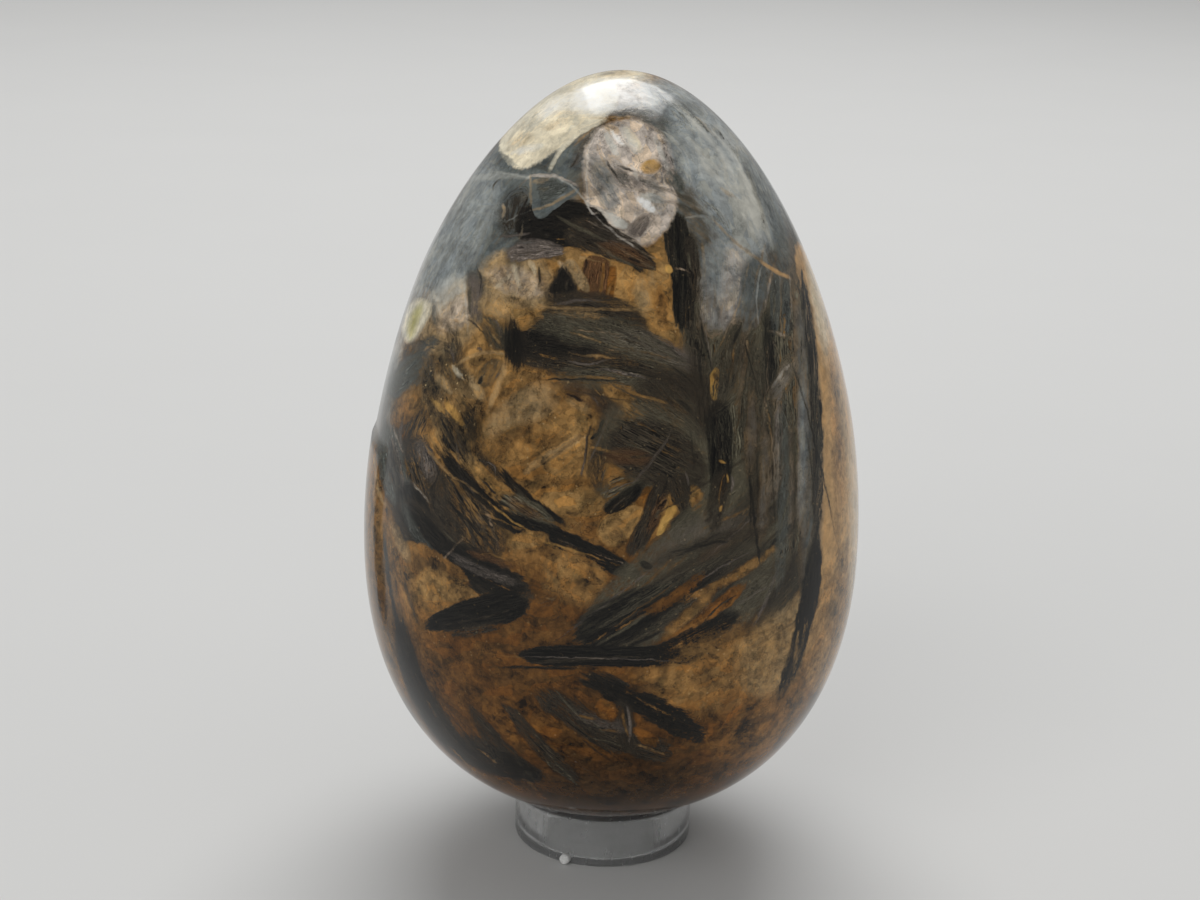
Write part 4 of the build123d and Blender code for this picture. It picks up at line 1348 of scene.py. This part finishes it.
def clear_plastic():
    """Clear moulded plastic, with faint scratches and a milky cast where it flowed."""
    material, wiring = new_material("clear_plastic")
    place = in_millimetres(wiring)
    worn = wiring.vector("MULTIPLY", place, (1.0, 1.0, 0.25))
    worn = wiring.noise(worn, 1.6, detail=4.0, rough=0.7)
    flow = wiring.vector("MULTIPLY", place, (0.35, 0.35, 1.0))
    flow = wiring.noise(flow, 0.8, detail=3.0, rough=0.6, swirl=1.0)
    colour = wiring.mix(wiring.step(flow, 0.35, 0.7), CLEAR, MILKY)
    roughness = wiring.step(worn, 0.35, 0.8, 0.10, 0.34)
    look = {
        "Base Color": colour, "Roughness": roughness, "Normal": wiring.bump(worn, 0.25), "IOR": 1.49,
        "Transmission Weight": 0.84,
    }
    finish_material(wiring, look)
    return material


class STONE_OT_ring(Operator):
    """Make the clear ring in place of the CAD ring"""

    bl_idname = "stone_egg.ring"
    bl_label = "Ring"

    def execute(self, context):
        sizes = context.scene.ring_sizes
        bm = bmesh.new()
        wall = ring_wall_outline(sizes)
        spin_outline(bm, wall + wall[:1], sizes.turns)
        add_stub(bm, sizes)
        piece = new_piece("clear_ring", bm, "stand", "ring_stand")
        piece.data.materials.append(clear_plastic())
        piece.data.materials.append(stressed_plastic())
        return {"FINISHED"}


# The stage

# Half the floor's width
FLOOR_REACH = 3.0
# What the floor's faint clouds do to its colour, and how many there are to a millimetre
FLOOR_CLOUD_SHADE, FLOOR_CLOUD_SCALE = 0.97, 0.02
# Nearer than this the camera sees nothing
NEAREST = 0.01
# The lamps: name, place, width and depth, power in watts, and whether polish mirrors them
Lamp = namedtuple("Lamp", "name place size power mirrored")
LAMPS = (
    Lamp("overhead", (0.03, 0.50, 0.92), (0.78, 0.72), 8.0, True),
    Lamp("front", (-0.50, -0.90, 0.70), (0.8, 0.8), 4.2, False),
)
# The place that the lamps point at
LIT_PLACE = Vector((0, 0, 0.05))


class STONE_OT_stage(Operator):
    """Make the floor, the lights and the camera"""

    bl_idname = "stone_egg.stage"
    bl_label = "Stage"

    def execute(self, context):
        scene, sizes = context.scene, context.scene.stage_sizes
        bm = bmesh.new()
        bmesh.ops.create_grid(bm, x_segments=1, y_segments=1, size=FLOOR_REACH)
        mesh = bpy.data.meshes.new("floor")
        bm.to_mesh(mesh)
        bm.free()
        floor = bpy.data.objects.new("floor", mesh)
        scene.collection.objects.link(floor)
        material, wiring = new_material("floor")
        cloud = wiring.noise(in_millimetres(wiring), FLOOR_CLOUD_SCALE, detail=3.0, rough=0.5)
        dim = opaque(FLOOR_CLOUD_SHADE * share for share in sizes.floor)
        look = {"Base Color": wiring.mix(cloud, opaque(sizes.floor), dim), "Roughness": 0.6}
        finish_material(wiring, look)
        mesh.materials.append(material)

        camera = bpy.data.objects.new("camera", bpy.data.cameras.new("camera"))
        scene.collection.objects.link(camera)
        eye = Eye(sizes)
        camera.matrix_world = Matrix.Translation(eye.place) @ eye.turn.to_4x4()
        camera.data.sensor_width = SENSOR_WIDTH
        camera.data.lens = sizes.lens
        camera.data.clip_start = NEAREST
        scene.camera = camera

        for lamp in LAMPS:
            light = bpy.data.lights.new(lamp.name, "AREA")
            light.shape = "RECTANGLE"
            light.size, light.size_y = lamp.size
            light.energy = lamp.power
            holder = bpy.data.objects.new(lamp.name, light)
            holder.visible_glossy = lamp.mirrored
            scene.collection.objects.link(holder)
            place = Vector(lamp.place)
            turn = (LIT_PLACE - place).to_track_quat("-Z", "Y").to_matrix().to_4x4()
            holder.matrix_world = Matrix.Translation(place) @ turn

        world = bpy.data.worlds.new("studio")
        world.use_nodes = True
        world.node_tree.nodes.clear()
        sky = Wiring(world.node_tree)
        glow = sky.add("ShaderNodeBackground", {"Color": (1, 1, 1, 1), "Strength": sizes.world})
        sky.add("ShaderNodeOutputWorld", {"Surface": glow})
        scene.world = world
        scene.view_settings.view_transform = "Standard"
        return {"FINISHED"}


class STONE_PT_panel(Panel):
    """Lists the pieces and their sizes"""

    bl_label = "Stone Egg"
    bl_idname = "STONE_PT_panel"
    bl_space_type = "VIEW_3D"
    bl_region_type = "UI"
    bl_category = "Stone Egg"

    def draw(self, context):
        for operator in OPERATORS:
            self.layout.operator(operator.bl_idname)
        for group in GROUPS:
            settings = getattr(context.scene, group)
            for name in settings.__annotations__:
                self.layout.prop(settings, name)


GROUPS = {
    "egg_sizes": EggSizes,
    "stone_tones": StoneTones,
    "ring_sizes": RingSizes,
    "stage_sizes": StageSizes,
}
OPERATORS = (STONE_OT_stage, STONE_OT_ring, STONE_OT_egg)


def register():
    for made in (*GROUPS.values(), *OPERATORS, STONE_PT_panel):
        bpy.utils.register_class(made)
    for name, group in GROUPS.items():
        setattr(bpy.types.Scene, name, PointerProperty(type=group))


def unregister():
    for name in GROUPS:
        delattr(bpy.types.Scene, name)
    for made in (STONE_PT_panel, *reversed(OPERATORS), *reversed(GROUPS.values())):
        bpy.utils.unregister_class(made)


def main():
    register()
    bpy.ops.stone_egg.stage()
    bpy.ops.stone_egg.ring()
    bpy.ops.stone_egg.egg()


if __name__ == "__main__":
    main()
